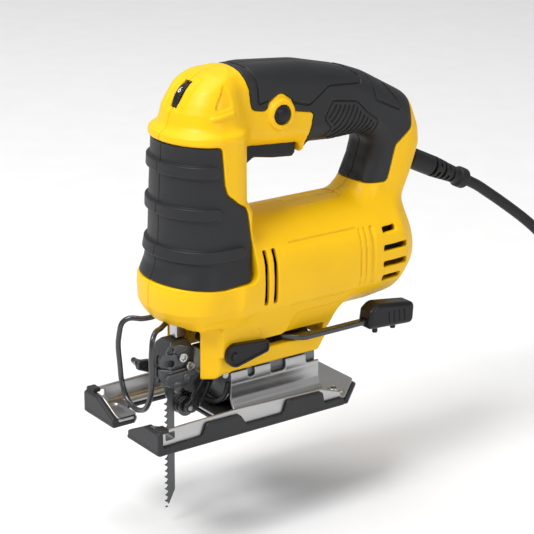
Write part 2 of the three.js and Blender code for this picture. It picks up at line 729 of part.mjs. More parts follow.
const rollerGroove = turnedX([
  [ROLLER.radius - 1.2, -0.9],
  [ROLLER.radius + 1, -1.6],
  [ROLLER.radius + 1, 1.6],
  [ROLLER.radius - 1.2, 0.9],
  [ROLLER.radius - 1.2, -0.9],
], 0, 24).rotate([0, 0, 90]).translate([ROLLER.x, 0, ROLLER.z]);
place('guide_roller', cut(
  ring('y', [ROLLER.z, ROLLER.x], ROLLER.radius, 1.5 + GAP, -ROLLER.halfWidth, ROLLER.halfWidth, 24),
  rollerGroove,
), blackSteel);

place('orbit_selector', join(
  rod('y', [SELECTOR.z, SELECTOR.x], 6.6, LOWER_HALF_WIDTH + 0.7, LOWER_HALF_WIDTH + 5.2, 20, 6),
  sidePrism([
    [SELECTOR.x + 2, SELECTOR.z - 6.5, 3],
    [SELECTOR.x + 6.5, SELECTOR.z, 3],
    [SELECTOR.x + 2, SELECTOR.z + 6.8, 3],
    [-9, 50, 3],
    [-12.5, 46, 3],
    [-9, 42, 3],
  ], LOWER_HALF_WIDTH + 2.4, LOWER_HALF_WIDTH + 5.2),
  rod('y', [SELECTOR.z, SELECTOR.x], SELECTOR.shaftRadius, -8, LOWER_HALF_WIDTH + 1, 16),
), blackPlastic);

// ---------------------------------------------------------------- finger guard
const guardSide = (side) => [
  [42, 6 * side, 74],
  [42, 6 * side, 65.2],
  [47, 8.6 * side, 63],
  [57, 15.4 * side, 62],
  [60, 17.4 * side, 53],
  [60, 17 * side, 34],
  [60, 13.8 * side, 21],
  [60, 6 * side, 13.6],
];
place('finger_guard', bar(
  [...guardSide(1), ...guardSide(-1).reverse()].map((point) => new THREE.Vector3(...point)),
  1.6,
  { sides: 6, steps: 40 },
), blackSteel);

// ---------------------------------------------------------------- shoe
const REAR_CHAMFER = { x: 22, y: 20 };
function shoePlan(halfWidth, front, rear) {
  return [
    [front, halfWidth],
    [front, -halfWidth],
    [rear + REAR_CHAMFER.x, -halfWidth],
    [rear, -halfWidth + REAR_CHAMFER.y],
    [rear, halfWidth - REAR_CHAMFER.y],
    [rear + REAR_CHAMFER.x, halfWidth],
  ];
}

const shoeOpenings = (extra) => [
  box(BLADE_OPENING.rear - extra, BLADE_OPENING.front + extra,
    -BLADE_OPENING.halfWidth - extra, BLADE_OPENING.halfWidth + extra, -1, 10),
  box(BLADE_OPENING.front - 5, SHOE.front + 5,
    -SIGHT_SLOT_HALF_WIDTH - extra, SIGHT_SLOT_HALF_WIDTH + extra, -1, 10),
  box(BEVEL_BOLT_X - 8 - extra, BEVEL_BOLT_X + 8 + extra, -18 - extra, 18 + extra, -1, 10),
];

const frontWall = (side) => prism('x', [
  [side * 8.2, 1],
  [side * 8.2, 5, 1],
  [side * 26, 13.5, 4],
  [side * SHOE.halfWidth, 13.5],
  [side * SHOE.halfWidth, 1],
], SHOE.front - 3.5, SHOE.front);

const coverSide = (side) => prism('y', sideView([
  [SHOE.front - 1, 1],
  [-61, 1],
  [-61, 4.5],
  [-46, 4.5],
  [-45, 12, 2],
  [-19, 12.5, 2],
  [-16, 5],
  [10, 5],
  [14, 11.8, 2],
  [38, 12, 2],
  [41, 5],
  [SHOE.front - 3.5, 5],
  [SHOE.front - 3.5, 13.5],
  [SHOE.front - 1, 13.5],
]), Math.min(side * SHOE.halfWidth, side * (SHOE.halfWidth - 1.9)),
Math.max(side * SHOE.halfWidth, side * (SHOE.halfWidth - 1.9)));

place('shoe_cover', cut(
  join(
    prism('z', shoePlan(SHOE.halfWidth, SHOE.front, SHOE.rear), 0, SHOE.coverThickness),
    both(frontWall),
    both(coverSide),
  ),
  ...shoeOpenings(0),
), greyPlastic);

const PLATE_FRONT = SHOE.front - 3.5 - GAP;
const flange = (side) => prism('y', sideView([
  [PLATE_FRONT, PLATE_BOTTOM_Z],
  [-60, PLATE_BOTTOM_Z],
  [-60, 8],
  [-45, 13, 4],
  [15, 15, 10],
  [PLATE_FRONT, 14, 2],
]), Math.min(side * PLATE_HALF_WIDTH, side * (PLATE_HALF_WIDTH - 1.8)),
Math.max(side * PLATE_HALF_WIDTH, side * (PLATE_HALF_WIDTH - 1.8)));
const flangeWindow = box(58.7, 64.7, -50, 50, 7.6, 12.2);

place('shoe_plate', cut(
  join(
    prism('z', shoePlan(PLATE_HALF_WIDTH, PLATE_FRONT, SHOE.rear + 1), PLATE_BOTTOM_Z, PLATE_TOP_Z),
    both(flange),
  ),
  ...shoeOpenings(0.5),
  flangeWindow,
), steel);

// The cradle is a half pipe around the bevel axis, standing on two flanges.
const CRADLE_BASE_Z = PLATE_TOP_Z + GAP;
const cradleLeg = (side) => prism('x', [
  [18.4, 18.5],
  [19.4, 13],
  [21.2, 8],
  [24.5, CRADLE_BASE_Z],
  [31, CRADLE_BASE_Z],
  [31, CRADLE_BASE_Z + 1.8],
  [25.2, CRADLE_BASE_Z + 1.8],
  [22.4, 9.4],
  [20.9, 13.5],
  [20.2, 20.6],
].map(([y, z]) => [side * y, z]), CRADLE.rear, CRADLE.front);
const cradleNotches = [[-9.5, -4.5, 24.6], [-32, -21, 23.6], [CRADLE.rear - 1, -47, 24]];

place('shoe_cradle', cut(
  join(
    cut(
      sector('x', [0, BEVEL_AXIS_Z], CRADLE_OUTER_RADIUS, -190, 10, CRADLE.rear, CRADLE.front),
      rod('x', [0, BEVEL_AXIS_Z], CRADLE_INNER_RADIUS, CRADLE.rear - 1, CRADLE.front + 1, 40),
    ),
    both(cradleLeg),
  ),
  ...cradleNotches.map(([rear, front, bottom]) => box(rear, front, -30, 30, bottom, 40)),
  box(BEVEL_BOLT_X - 3.5, BEVEL_BOLT_X + 3.5, -17.2, 17.2, 3, 18),
), steel);

for (const [side, name] of [[1, 'left'], [-1, 'right']]) {
  place(`shoe_rivet_${name}`, rod('z', [-62, side * 29], 4.2, PLATE_TOP_Z + GAP, 7.4, 16, 3), steel);
}

// ---------------------------------------------------------------- bevel clamp
place('bevel_block', cut(
  rod('x', [0, BEVEL_AXIS_Z], CRADLE_INNER_RADIUS - 0.4, -55, 5, 32),
  box(-60, 10, -30, 30, BEVEL_ARM.bottom - 0.6, 60),
  rod('z', [BEVEL_BOLT_X, 0], 2.5 + GAP, 0, 60, 14),
), castAlloy);

place('bevel_bolt', join(
  rod('z', [BEVEL_BOLT_X, 0], 3.5, 2.4, 4.4, 6),
  rod('z', [BEVEL_BOLT_X, 0], 2.5, 4.3, 50, 14),
  rod('z', [BEVEL_BOLT_X, 0], 4.5, BEVEL_ARM.top + GAP, 50.5, 6),
), steel);

place('bevel_lever_arm', cut(
  join(
    rod('z', [BEVEL_BOLT_X, 0], 7, BEVEL_ARM.bottom, BEVEL_ARM.top, 20),
    prism('z', [
      [-24, 0],
      [-27, 22, 6],
      [-36, 33, 6],
      [-95, 33.2],
      [-95, 28.2],
      [-45, 28.2, 6],
      [-37, 18, 6],
      [-33, 0],
    ], BEVEL_ARM.bottom, BEVEL_ARM.top),
  ),
  rod('z', [BEVEL_BOLT_X, 0], 2.5 + GAP, 40, 50, 14),
), blackSteel);

place('bevel_lever_knob', cut(
  sidePrism([
    [-82, 41],
    [-118, 39],
    [-118.5, 53],
    [-89, 57],
    [-84, 53],
  ], 24.5, 37, { bevel: 2 }),
  box(-95.5, -80, 28.2 - GAP, 33.2 + GAP, BEVEL_ARM.bottom - GAP, BEVEL_ARM.top + GAP),
), blackPlastic);

// ---------------------------------------------------------------- cord
place('strain_relief', turnedAlongExit([
  [0, 2],
  [5.6, 2],
  [5.6, 12],
  [6.6, 12],
  [6.6, 36],
  [5.6, 48],
  [5.2, 56],
  [6.6, 57.5],
  [6.6, 64],
  [0, 64],
]), rubber);

place('cord_clamp', join(
  box(-126, -116, -8, 8, 148, 152),
  box(-124, -118, -4, 4, 145, 149),
), blackPlastic);

const cordRoute = [
  [-187.4, 0, 110.6],
  [-197.4, 0, 105.4],
  [-206.4, 0, 99.6],
  [-228.7, 1, 84],
  [-251, 3, 66],
  [-271, 6, 43],
  [-287, 11, 17],
  [-300, 18, -13],
  [-312, 27, -39],
  [-326, 37, -54],
  [-341, 46, -60.8],
  [-357, 53.6, -62.4],
  [-377.5, 57, -62.4],
];
place('power_cord', bar(
  cordRoute.map((point) => new THREE.Vector3(...point)),
  CORD_RADIUS,
  { sides: 8, steps: 40 },
), rubber);

place('cord_coil', ring(
  'z', [COIL.x, COIL.y], COIL.meanRadius + COIL.halfBundle, COIL.meanRadius - COIL.halfBundle,
  FLOOR_Z, FLOOR_Z + 2 * COIL.halfBundle, 32,
), rubber);

const plugPin = (side) => rod(
  'x', [side * PLUG.pinSpacing / 2, 0], 2, PLUG.length - 1, PLUG.length + PLUG.pinLength, 10,
);
place('plug', join(
  turnedX([
    [0, 0],
    [4, 0],
    [5, 14],
    [8.5, 21],
    [PLUG.radius, 29],
    [PLUG.radius, PLUG.length],
    [0, PLUG.length],
  ], 0, 20),
  both(plugPin),
).translate([
  PLUG.x, PLUG.y, FLOOR_Z + PLUG.radius,
]), blackPlastic);

export default jigsaw;
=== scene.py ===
import json
import math
from functools import partial, reduce

import bpy
import numpy as np
from mathutils import Matrix, Quaternion, Vector


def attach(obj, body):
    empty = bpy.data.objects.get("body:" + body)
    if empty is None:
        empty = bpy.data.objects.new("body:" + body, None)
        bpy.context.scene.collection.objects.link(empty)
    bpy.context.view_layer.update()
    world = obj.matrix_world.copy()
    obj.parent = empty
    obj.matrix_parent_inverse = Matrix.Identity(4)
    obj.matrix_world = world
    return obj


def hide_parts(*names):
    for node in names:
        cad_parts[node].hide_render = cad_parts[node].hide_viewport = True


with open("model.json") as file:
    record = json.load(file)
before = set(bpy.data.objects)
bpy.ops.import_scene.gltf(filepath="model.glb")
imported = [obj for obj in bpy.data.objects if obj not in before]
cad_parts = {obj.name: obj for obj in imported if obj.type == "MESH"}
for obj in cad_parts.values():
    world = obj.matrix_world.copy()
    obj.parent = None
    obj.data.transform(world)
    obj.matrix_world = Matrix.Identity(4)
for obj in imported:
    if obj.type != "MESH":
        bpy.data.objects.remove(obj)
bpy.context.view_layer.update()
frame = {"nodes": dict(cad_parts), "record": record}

# Shapes are worked out in millimetres in the CAD model's frame, and written to meshes in metres.
MM = 0.001
COARSER = 1.0

# ---- driving sizes (mm)
GAP = 0.3
SKIN = 1.7  # thickness of the rubber overmoulds
WALL = 3.2  # thickness of the housing
SEAM = 0.16  # half the gap between the two halves
MOTOR_Z = 84.5
BARREL_RADIUS = 36.5
BARREL_FRONT_X = -3.5
BARREL_REAR_X = -131.5
BARREL_SIDE = 34.6
BARREL_FLATTENING = 1.09  # how much its underside is pressed in
HANDLE_HALF_WIDTH = 18
HANDLE_ROUNDING = 12.5
TRIGGER_HALF_WIDTH = 9.8
LOWER_HALF_WIDTH = 27
LOCK_BUTTON = (-29, 178.8)
LOCK_RING_RADIUS = 9.3
SELECTOR = (10.5, 44.5)
DIAL = (19, 188)
DIAL_RADIUS = 12.9
PLUNGER_X = 31
BEVEL_AXIS_Z = 26
CORD_DIAMETER = 7
FLOOR_Z = -66
COIL_CENTRE = (-406, 10)
COIL_RADIUS = 40  # to the middle of the bundle of turns


# ======== fields: signed distances in mm
def join(a, b, r=0.0):
    """Union of two fields, with a fillet of about r, which may vary from point to point."""
    if np.isscalar(r) and r == 0:
        return np.minimum(a, b)
    h = np.maximum(r - np.abs(a - b), 0) / r
    return np.minimum(a, b) - h * h * r * 0.25


def cut(a, b, r=0.0):
    """Field a without field b, the new edge eased by about r."""
    return -join(-a, b, r)


def meet(a, b, r=0.0):
    """What two fields share, the new edge eased by about r."""
    return -join(-a, -b, r)


def rounded(a, b, r):
    """What two fields share, with a true round edge of radius r."""
    u, v = a + r, b + r
    return np.minimum(np.maximum(u, v), 0) + np.hypot(np.maximum(u, 0), np.maximum(v, 0)) - r


def slab(value, low, high):
    return np.abs(value - (low + high) / 2) - (high - low) / 2


def prism(plan, value, low, high, r):
    """What a plan covers between two heights, with a true round edge."""
    return rounded(plan, slab(value, low, high), r)


def engraved(body, mark, depth, wall, ease):
    """A body with a mark sunk to a depth below its surface."""
    return cut(body, rounded(mark, -(body + depth), wall), ease)


def box(x, y, z, low, high, r=0.0):
    sides = [slab(v, a, b) + r for v, a, b in zip((x, y, z), low, high)]
    outside = np.sqrt(sum(np.maximum(s, 0) ** 2 for s in sides))
    return outside + np.minimum(np.maximum(np.maximum(sides[0], sides[1]), sides[2]), 0) - r


def around(u, v, centre):
    """Distance in a plane from a point."""
    return np.hypot(u - centre[0], v - centre[1])


def tapered(u, v, start, end, first, second):
    """Distance in a plane to a bar with round ends of two sizes."""
    du, dv = end[0] - start[0], end[1] - start[1]
    t = np.clip(((u - start[0]) * du + (v - start[1]) * dv) / (du * du + dv * dv), 0, 1)
    return np.hypot(u - start[0] - t * du, v - start[1] - t * dv) - first - (second - first) * t


def capsule(u, v, start, end, radius):
    return tapered(u, v, start, end, radius, radius)


def rounded_corners(corners, steps=8):
    """Corners [u, v] or [u, v, radius] as a polygon, with arcs where a radius is given."""
    points = []
    for i, corner in enumerate(corners):
        here = np.array(corner[:2], float)
        if len(corner) == 2:
            points.append(here)
            continue
        before = np.array(corners[i - 1][:2], float) - here
        after = np.array(corners[(i + 1) % len(corners)][:2], float) - here
        before_len, after_len = np.linalg.norm(before), np.linalg.norm(after)
        before, after = before / before_len, after / after_len
        half = math.acos(np.clip(before @ after, -1, 1)) / 2
        reach = min(corner[2] / math.tan(half), before_len * 0.49, after_len * 0.49)
        for step in range(steps + 1):
            t = step / steps
            points.append(here + before * reach * (1 - t) ** 2 + after * reach * t ** 2)
    return np.array(points)


def polygon_distance(u, v, points):
    """Signed distance to a closed polygon, negative inside."""
    best = np.full(u.shape, 1e9)
    crossings = np.zeros(u.shape, bool)
    for a, b in zip(points, np.roll(points, -1, axis=0)):
        edge = b - a
        t = np.clip(((u - a[0]) * edge[0] + (v - a[1]) * edge[1]) / max(edge @ edge, 1e-9), 0, 1)
        best = np.minimum(best, (u - a[0] - t * edge[0]) ** 2 + (v - a[1] - t * edge[1]) ** 2)
        if a[1] != b[1]:
            over = (a[1] > v) != (b[1] > v)
            crossings ^= over & (u < a[0] + (v - a[1]) * edge[0] / edge[1])
    return np.where(crossings, -1, 1) * np.sqrt(best)


def line_distance(u, v, points):
    """Distance to an open line through the points."""
    best = np.full(u.shape, 1e9)
    for a, b in zip(points[:-1], points[1:]):
        best = np.minimum(best, capsule(u, v, a, b, 0))
    return best


class Plan:
    """A distance over one plane, kept on a fine grid so that large meshes can look it up quickly."""

    PITCH = 0.4
    MARGIN = 14

    def __init__(self, points, distance):
        points = np.asarray(points, float)
        self.low = points.min(axis=0) - self.MARGIN
        self.size = np.ceil((points.max(axis=0) + self.MARGIN - self.low) / self.PITCH).astype(int)
        axes = [self.low[k] + self.PITCH * np.arange(self.size[k] + 1) for k in range(2)]
        self.table = distance(*np.meshgrid(*axes, indexing="ij"), points).astype(np.float32)

    def __call__(self, u, v):
        a = (u - self.low[0]) / self.PITCH
        b = (v - self.low[1]) / self.PITCH
        inside_a = np.clip(a, 0, self.size[0] - 0.001)
        inside_b = np.clip(b, 0, self.size[1] - 0.001)
        beyond = np.hypot(a - inside_a, b - inside_b) * self.PITCH
        i, j = inside_a.astype(np.int32), inside_b.astype(np.int32)
        s, t = inside_a - i, inside_b - j
        table = self.table
        near = table[i, j] * (1 - t) + table[i, j + 1] * t
        far = table[i + 1, j] * (1 - t) + table[i + 1, j + 1] * t
        return near * (1 - s) + far * s + beyond


def outline(corners):
    return Plan(rounded_corners(corners), polygon_distance)


def mirrored(corners):
    """An outline from the corners of its left half."""
    return outline(corners + [[u, -v, *radius] for u, v, *radius in reversed(corners)])


def line(corners):
    """An open line; its corners may be rounded too."""
    ends = [corners[0][:2]], [corners[-1][:2]]
    bends = rounded_corners(corners)[1:-1] if len(corners) > 2 else np.empty((0, 2))
    return Plan(np.vstack([ends[0], bends, ends[1]]), line_distance)


# ======== meshes from fields
BLOCK = 8  # grid points in a block each way
CORNERS = [(a, b, c) for a in (0, 1) for b in (0, 1) for c in (0, 1)]
EDGES = [(p, q) for p in CORNERS for q in CORNERS if p < q and math.dist(p, q) == 1]


def sampled(field, low, blocks, step):
    """Field values on a grid, worked out in full only in the blocks that the surface can pass."""
    middle = (BLOCK - 1) / 2
    axes = [low[k] + step * (BLOCK * np.arange(blocks[k]) + middle) for k in range(3)]
    coarse = field(*np.meshgrid(*axes, indexing="ij")).astype(np.float32)
    values = coarse.repeat(BLOCK, 0).repeat(BLOCK, 1).repeat(BLOCK, 2)
    split = (blocks[0], BLOCK, blocks[1], BLOCK, blocks[2], BLOCK)
    view = values.reshape(split).transpose(0, 2, 4, 1, 3, 5)
    near = np.argwhere(np.abs(coarse) < 1.5 * step * middle * math.sqrt(3) + 1)
    offsets = (step * np.arange(BLOCK)).astype(np.float32)
    for part in np.array_split(near, max(1, len(near) // 900)):
        corner = (low + part * BLOCK * step).astype(np.float32)
        shape = (len(part), BLOCK, BLOCK, BLOCK)
        x = np.broadcast_to(corner[:, 0, None, None, None] + offsets[:, None, None], shape)
        y = np.broadcast_to(corner[:, 1, None, None, None] + offsets[None, :, None], shape)
        z = np.broadcast_to(corner[:, 2, None, None, None] + offsets[None, None, :], shape)
        view[part[:, 0], part[:, 1], part[:, 2]] = field(x, y, z)
    return values


def settled(field, points, step):
    """Moves points the last bit onto the surface."""
    for _ in range(2):
        x, y, z = points.T
        h = 0.25 * step
        value = field(x, y, z)
        slope = np.stack([
            field(x + h, y, z) - field(x - h, y, z),
            field(x, y + h, z) - field(x, y - h, z),
            field(x, y, z + h) - field(x, y, z - h),
        ], axis=1) / (2 * h)
        move = -value[:, None] * slope / np.maximum((slope ** 2).sum(axis=1), 0.2)[:, None]
        points = points + np.clip(move, -0.5 * step, 0.5 * step)
    return points


def surface(field, low, high, step):
    """Vertices and quads of the surface where the field is zero (surface nets)."""
    low = np.array(low, float) - 1.5 * step
    blocks = np.ceil((np.array(high, float) + 1.5 * step - low) / (step * BLOCK)).astype(int)
    values = sampled(field, low, blocks, step)
    inside = values < 0
    nx, ny, nz = (n - 1 for n in inside.shape)
    count = sum(inside[a:a + nx, b:b + ny, c:c + nz].astype(np.uint8) for a, b, c in CORNERS)
    mixed = (count > 0) & (count < 8)
    cells = np.argwhere(mixed)
    index = np.full(mixed.shape, -1, np.int32)
    index[mixed] = np.arange(len(cells))
    total, hits = np.zeros((len(cells), 3)), np.zeros(len(cells))
    for p, q in EDGES:
        a = values[tuple((cells + p).T)]
        b = values[tuple((cells + q).T)]
        crosses = (a < 0) != (b < 0)
        t = np.where(crosses, a / np.where(crosses, a - b, 1), 0)
        total += np.where(crosses[:, None], np.array(p) + t[:, None] * np.subtract(q, p), 0)
        hits += crosses
    points = settled(field, low + step * (cells + total / hits[:, None]), step)
    quads = []
    for k in range(3):
        u, v = (k + 1) % 3, (k + 2) % 3
        first = inside[tuple(slice(0, -1) if axis == k else slice(1, -1) for axis in range(3))]
        second = inside[tuple(slice(1, None) if axis == k else slice(1, -1) for axis in range(3))]
        for outward in (True, False):
            edges = np.argwhere(first & ~second if outward else ~first & second)
            edges[:, [u, v]] += 1
            ring = []
            for du, dv in ((1, 1), (0, 1), (0, 0), (1, 0)):
                cell = edges.copy()
                cell[:, u] -= du
                cell[:, v] -= dv
                ring.append(index[tuple(cell.T)])
            quads.append(np.stack(ring if outward else ring[::-1], axis=1))
    return points, np.vstack(quads)


def new_object(name, data):
    obj = bpy.data.objects.new(name, data)
    bpy.context.collection.objects.link(obj)
    return obj


def mesh_object(name, points, quads):
    mesh = bpy.data.meshes.new(name)
    mesh.vertices.add(len(points))
    mesh.vertices.foreach_set("co", (points * MM).astype(np.float32).ravel())
    mesh.loops.add(quads.size)
    mesh.loops.foreach_set("vertex_index", quads.astype(np.int32).ravel())
    mesh.polygons.add(len(quads))
    mesh.polygons.foreach_set("loop_start", np.arange(0, quads.size, 4, dtype=np.int32))
    mesh.polygons.foreach_set("use_smooth", np.ones(len(quads), bool))
    mesh.update()
    mesh.validate()
    return new_object(name, mesh)


def piece(name, field, low, high, step, material, body, replaces=()):
    """Meshes a field as a piece of the object that rides on a body and stands for CAD nodes."""
    points, quads = surface(field, low, high, step * COARSER)
    obj = mesh_object(name, points, quads)
    obj.data.materials.append(material)
    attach(obj, body)
    for node in replaces or (name,):
        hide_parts(node)
    return obj


# ======== forms of the housing
# Column sections from the chin to the top of the head: height, rear, front, half width.
COLUMN_SECTIONS = [
    (58, 3, 38, 20),
    (64, 2, 44.5, 26),
    (68, 1, 48, 30),
    (73, -0.5, 50.6, 33),
    (82, -1, 51.2, 33.8),
    (88, -1, 50.6, 33.4),
    (97, -2, 46.8, 32),
    (109, -3, 44.4, 31),
    (140, -3, 43.2, 30.5),
    (167, -3, 41.6, 30.2),
    (169.8, -3, 41.8, 30.2),
    (171, -3, 42.8, 30.8),
    (174.4, -3, 42.3, 30.4),
    (177, -3, 38.4, 27.4),
    (179, -3, 37, 26.4),
    (186, -3, 35.2, 25.2),
    (191.3, -3, 32.4, 23.9),
    (195, -3, 30, 22.8),
    (198, -3, 28, 21.8),
    (200.5, -3, 25.4, 20.4),
    (203.2, -3.5, 21.6, 18.4),
    (205.5, -4.5, 16, 15.6),
    (207.2, -6, 8, 10),
]
SECTION_PITCH = 0.25
SECTION_HEIGHTS = np.arange(COLUMN_SECTIONS[0][0], COLUMN_SECTIONS[-1][0] + 6, SECTION_PITCH)


def section_curves():
    """Rear, front and half width of the column at each height, with the table's corners eased."""
    table = np.array(COLUMN_SECTIONS, float)
    reach = 5
    weights = np.exp(-np.linspace(-2, 2, 2 * reach + 1) ** 2)
    curves = []
    for k in (1, 2, 3):
        raw = np.interp(SECTION_HEIGHTS, table[:, 0], table[:, k])
        padded = np.concatenate([np.full(reach, raw[0]), raw, np.full(reach, raw[-1])])
        curves.append(np.convolve(padded, weights / weights.sum(), mode="valid"))
    return curves


COLUMN_CURVES = section_curves()


def column(x, y, z):
    """The gear column and head: round in front, with soft corners behind."""
    step = np.clip((z - SECTION_HEIGHTS[0]) / SECTION_PITCH, 0, len(SECTION_HEIGHTS) - 1.001)
    i = step.astype(np.int32)
    t = step - i
    rear, front, half = (c[i] * (1 - t) + c[i + 1] * t for c in COLUMN_CURVES)
    reach = np.minimum(half, (front - rear) / 2)
    middle = front - reach
    u = np.maximum(x - middle, 0) / reach
    v = y / half
    k = np.sqrt(u * u + v * v) + 1e-4
    nose = (k - 1) * k / np.sqrt((u / reach) ** 2 + (v / half) ** 2 + 1e-8)
    corner = 6 + 8 * np.clip((z - 128) / 6, 0, 1)  # the rear corners are softer beside the handle
    back = rounded(rear - x, np.abs(y) - half, corner)
    side = np.where(x > middle, nose, np.maximum(back, np.abs(y) - half))
    side = np.where((x <= middle) & (rear - x > -corner), back, side)
    return rounded(rounded(side * 0.9, z - 207.6, 4), 62 - z, 3)


HANDLE = outline([
    [18, 203], [14, 206.5], [-14, 208, 40], [-52, 205, 60], [-92, 196, 60], [-130, 175.8, 22],
    [-137.6, 157, 20], [-139, 145.5, 16], [-133, 128, 20], [-126, 112, 10], [-124.5, 104],
    [-124.5, 88], [-88, 88], [-90, 122, 4], [-98.5, 140], [-102, 152, 12], [-92, 156.5, 14],
    [-72, 155.4, 30], [-56, 156.4, 10], [-46, 157.2], [-8, 160.4], [6, 161],
])
HANDLE_LIP = outline([
    [-60, 164], [-51.9, 158.4, 2], [-49.6, 153.6, 1.5], [-46.9, 152.4, 0.8], [-46.9, 164],
    [-52, 172],
])


def handle_width(x):
    """Half width along the handle: a little slimmer in the middle of the grip."""
    return HANDLE_HALF_WIDTH - 1.2 * np.exp(-((x + 62) / 26) ** 2)


def handle(x, y, z):
    side = np.abs(y) - handle_width(x)
    bar = rounded(HANDLE(x, z), side, HANDLE_ROUNDING)
    lip = rounded(HANDLE_LIP(x, z), np.abs(y) - 13, 3)
    return join(bar, lip, 4)


BARREL = outline([
    [BARREL_REAR_X, -30],
    [BARREL_REAR_X, 12, 12],
    [BARREL_REAR_X + 6.5, 25, 12],
    [BARREL_REAR_X + 19.5, 34.5, 14],
    [BARREL_REAR_X + 37.5, BARREL_RADIUS, 20],
    [BARREL_FRONT_X, BARREL_RADIUS],
    [BARREL_FRONT_X + 12, BARREL_RADIUS],
    [BARREL_FRONT_X + 12, -30],
])


def barrel(x, y, z):
    """Nearly round, with flats at its sides and a slightly flattened underside."""
    up = z - MOTOR_Z
    round_body = BARREL(x, np.hypot(y, np.where(up < 0, up * BARREL_FLATTENING, up)))
    return rounded(round_body, np.abs(y) - BARREL_SIDE, 2.5)


LOWER = outline([
    [33, 80], [33, 36, 3], [27.5, 28.4, 2.5], [21.5, 29.4, 2.5], [16, 31.4, 4], [-53, 31.4, 3],
    [-60, 43, 6], [-68.5, 59.5, 12], [-78, 74], [-78, 84], [0, 90],
])


def chin_corner(x, y):
    """Beyond the slanting face that cuts off each front corner of the chin, seen from above."""
    return 0.763 * (x - 27.2) + 0.648 * (np.abs(y) - 17)


def lower_housing(x, y, z):
    draft = np.clip((58 - z) * 0.05, 0, 2)
    body = rounded(LOWER(x, z), np.abs(y) - LOWER_HALF_WIDTH + draft, 2.6)
    return cut(body, rounded(-chin_corner(x, y), z - 62, 1), 1.5)


# ---- overmould outlines, as seen from the side
FRONT_GRIP = outline([
    [75, 170.3], [20.2, 169, 3.5], [18.4, 147], [16.4, 141, 5], [8, 134, 7], [3.4, 131.6, 3],
    [-0.6, 108], [-1.6, 88, 5], [20, 86.8, 8], [75, 92],
])
HANDLE_GRIP = outline([
    [0, 222], [-3.4, 208, 14], [-6.8, 196], [-8.6, 184, 4], [-18.6, 182.2, 3], [-20.4, 187, 3],
    [-28.6, 192.4, 6], [-37.2, 186.4, 3], [-39, 179.6, 2], [-53.6, 176.6, 3], [-50, 158],
    [-49.5, 146], [-90, 146], [-78, 131], [-96, 126.4, 8], [-108.6, 126.6, 4], [-114.5, 148, 4],
    [-126.4, 157, 5], [-127, 170], [-140, 222],
])
PATCH = outline([
    [-67.4, 181.4, 2], [-84.5, 179, 5], [-92, 171.6, 4], [-100.8, 165.4, 3], [-98.6, 156, 6],
    [-88, 150], [-70, 150], [-62.5, 160.5, 3], [-66.8, 164.8, 2], [-61.2, 171.2, 3],
])
SEAM_LINES = [
    line([
        [2, 216], [-8.4, 208.5, 8], [-12, 200], [-13, 186.4, 2], [-19.5, 187.8],
    ]),
    line([
        [-38.2, 184.4], [-50, 181.2, 5], [-57.4, 186, 5], [-64, 190.8, 5], [-88.4, 189.2, 2],
        [-87.6, 193], [-78, 202], [-70, 212],
    ]),
    line([
        [-88, 202], [-96.4, 189, 5], [-98.6, 178, 3], [-117.6, 169, 3], [-117.4, 173.5, 3],
        [-108, 185], [-100, 198],
    ]),
    line([[-99, 150], [-98.4, 143.5, 5], [-93.4, 125]]),
]
BOOT_RIBS = ((155.4, 26), (131.3, 24.4), (106.6, 8.4))  # height, rear end
SEAM_HALF_WIDTH = 0.5
SEAM_DEPTH = 0.9
RIDGE_CENTRE = (-58, 182)  # the patch's grooves are arcs about this point
RIDGE_PITCH = 3.2
RIDGE_FIRST = 12


def clamshell_half(field_at_seam, side, y):
    """Cuts a field back to one side of the tool's middle plane, with a fine eased edge along the seam."""
    return meet(field_at_seam, SEAM - side * y, 0.5)


def front_grip(x, y, z):
    """The boot: a rubber skin over the column with three raised ribs."""
    outer = column(x, y, z) + 0.4
    ribs = [capsule(x, z, (rear, height), (90, height + 0.4), 3.4) for height, rear in BOOT_RIBS]
    raised = rounded(outer - 1.9, reduce(np.minimum, ribs), 0.7)
    outer = join(outer, raised, 0.35)
    skin = rounded(outer, -(column(x, y, z) + SKIN), 0.4)
    back = box(x, y, z, (-9, -27, 78), (4.5, 27, 178), 2)
    return cut(rounded(skin, FRONT_GRIP(x, z), 0.8), back, 0.6)


def handle_fillet(z):
    """The fillet between handle and column, which runs out towards the top of the head."""
    return np.clip(9 - (z - 178) * 0.43, 3, 9)


def handle_body(x, y, z):
    return join(handle(x, y, z), join(barrel(x, y, z), column(x, y, z), 5), handle_fillet(z))


def handle_grip(x, y, z):
    """The D-handle's rubber skin, with its seam lines and the grooved patch on each side."""
    body = handle_body(x, y, z)
    depth = -(body + SEAM_DEPTH)
    skin = body
    for seam in SEAM_LINES:
        skin = cut(skin, rounded(seam(x, z) - SEAM_HALF_WIDTH, depth, 0.1), 0.35)
    patch = PATCH(x, z)
    skin = cut(skin, rounded(np.abs(patch) - 0.4, depth, 0.1), 0.3)
    radius = around(x, z, RIDGE_CENTRE) - RIDGE_FIRST
    stripe = np.abs((radius + RIDGE_PITCH / 2) % RIDGE_PITCH - RIDGE_PITCH / 2) - 0.75
    grooves = rounded(rounded(stripe, patch + 2.2, 0.4), -(body + 1.0), 0.2)
    skin = cut(skin, grooves, 0.3)
    skin = rounded(skin, -(body + SKIN), 0.3)
    skin = rounded(skin, HANDLE_GRIP(x, z), 0.6)
    boss = around(x, z, LOCK_BUTTON) - LOCK_RING_RADIUS - 0.3
    return cut(skin, boss, 0.3)


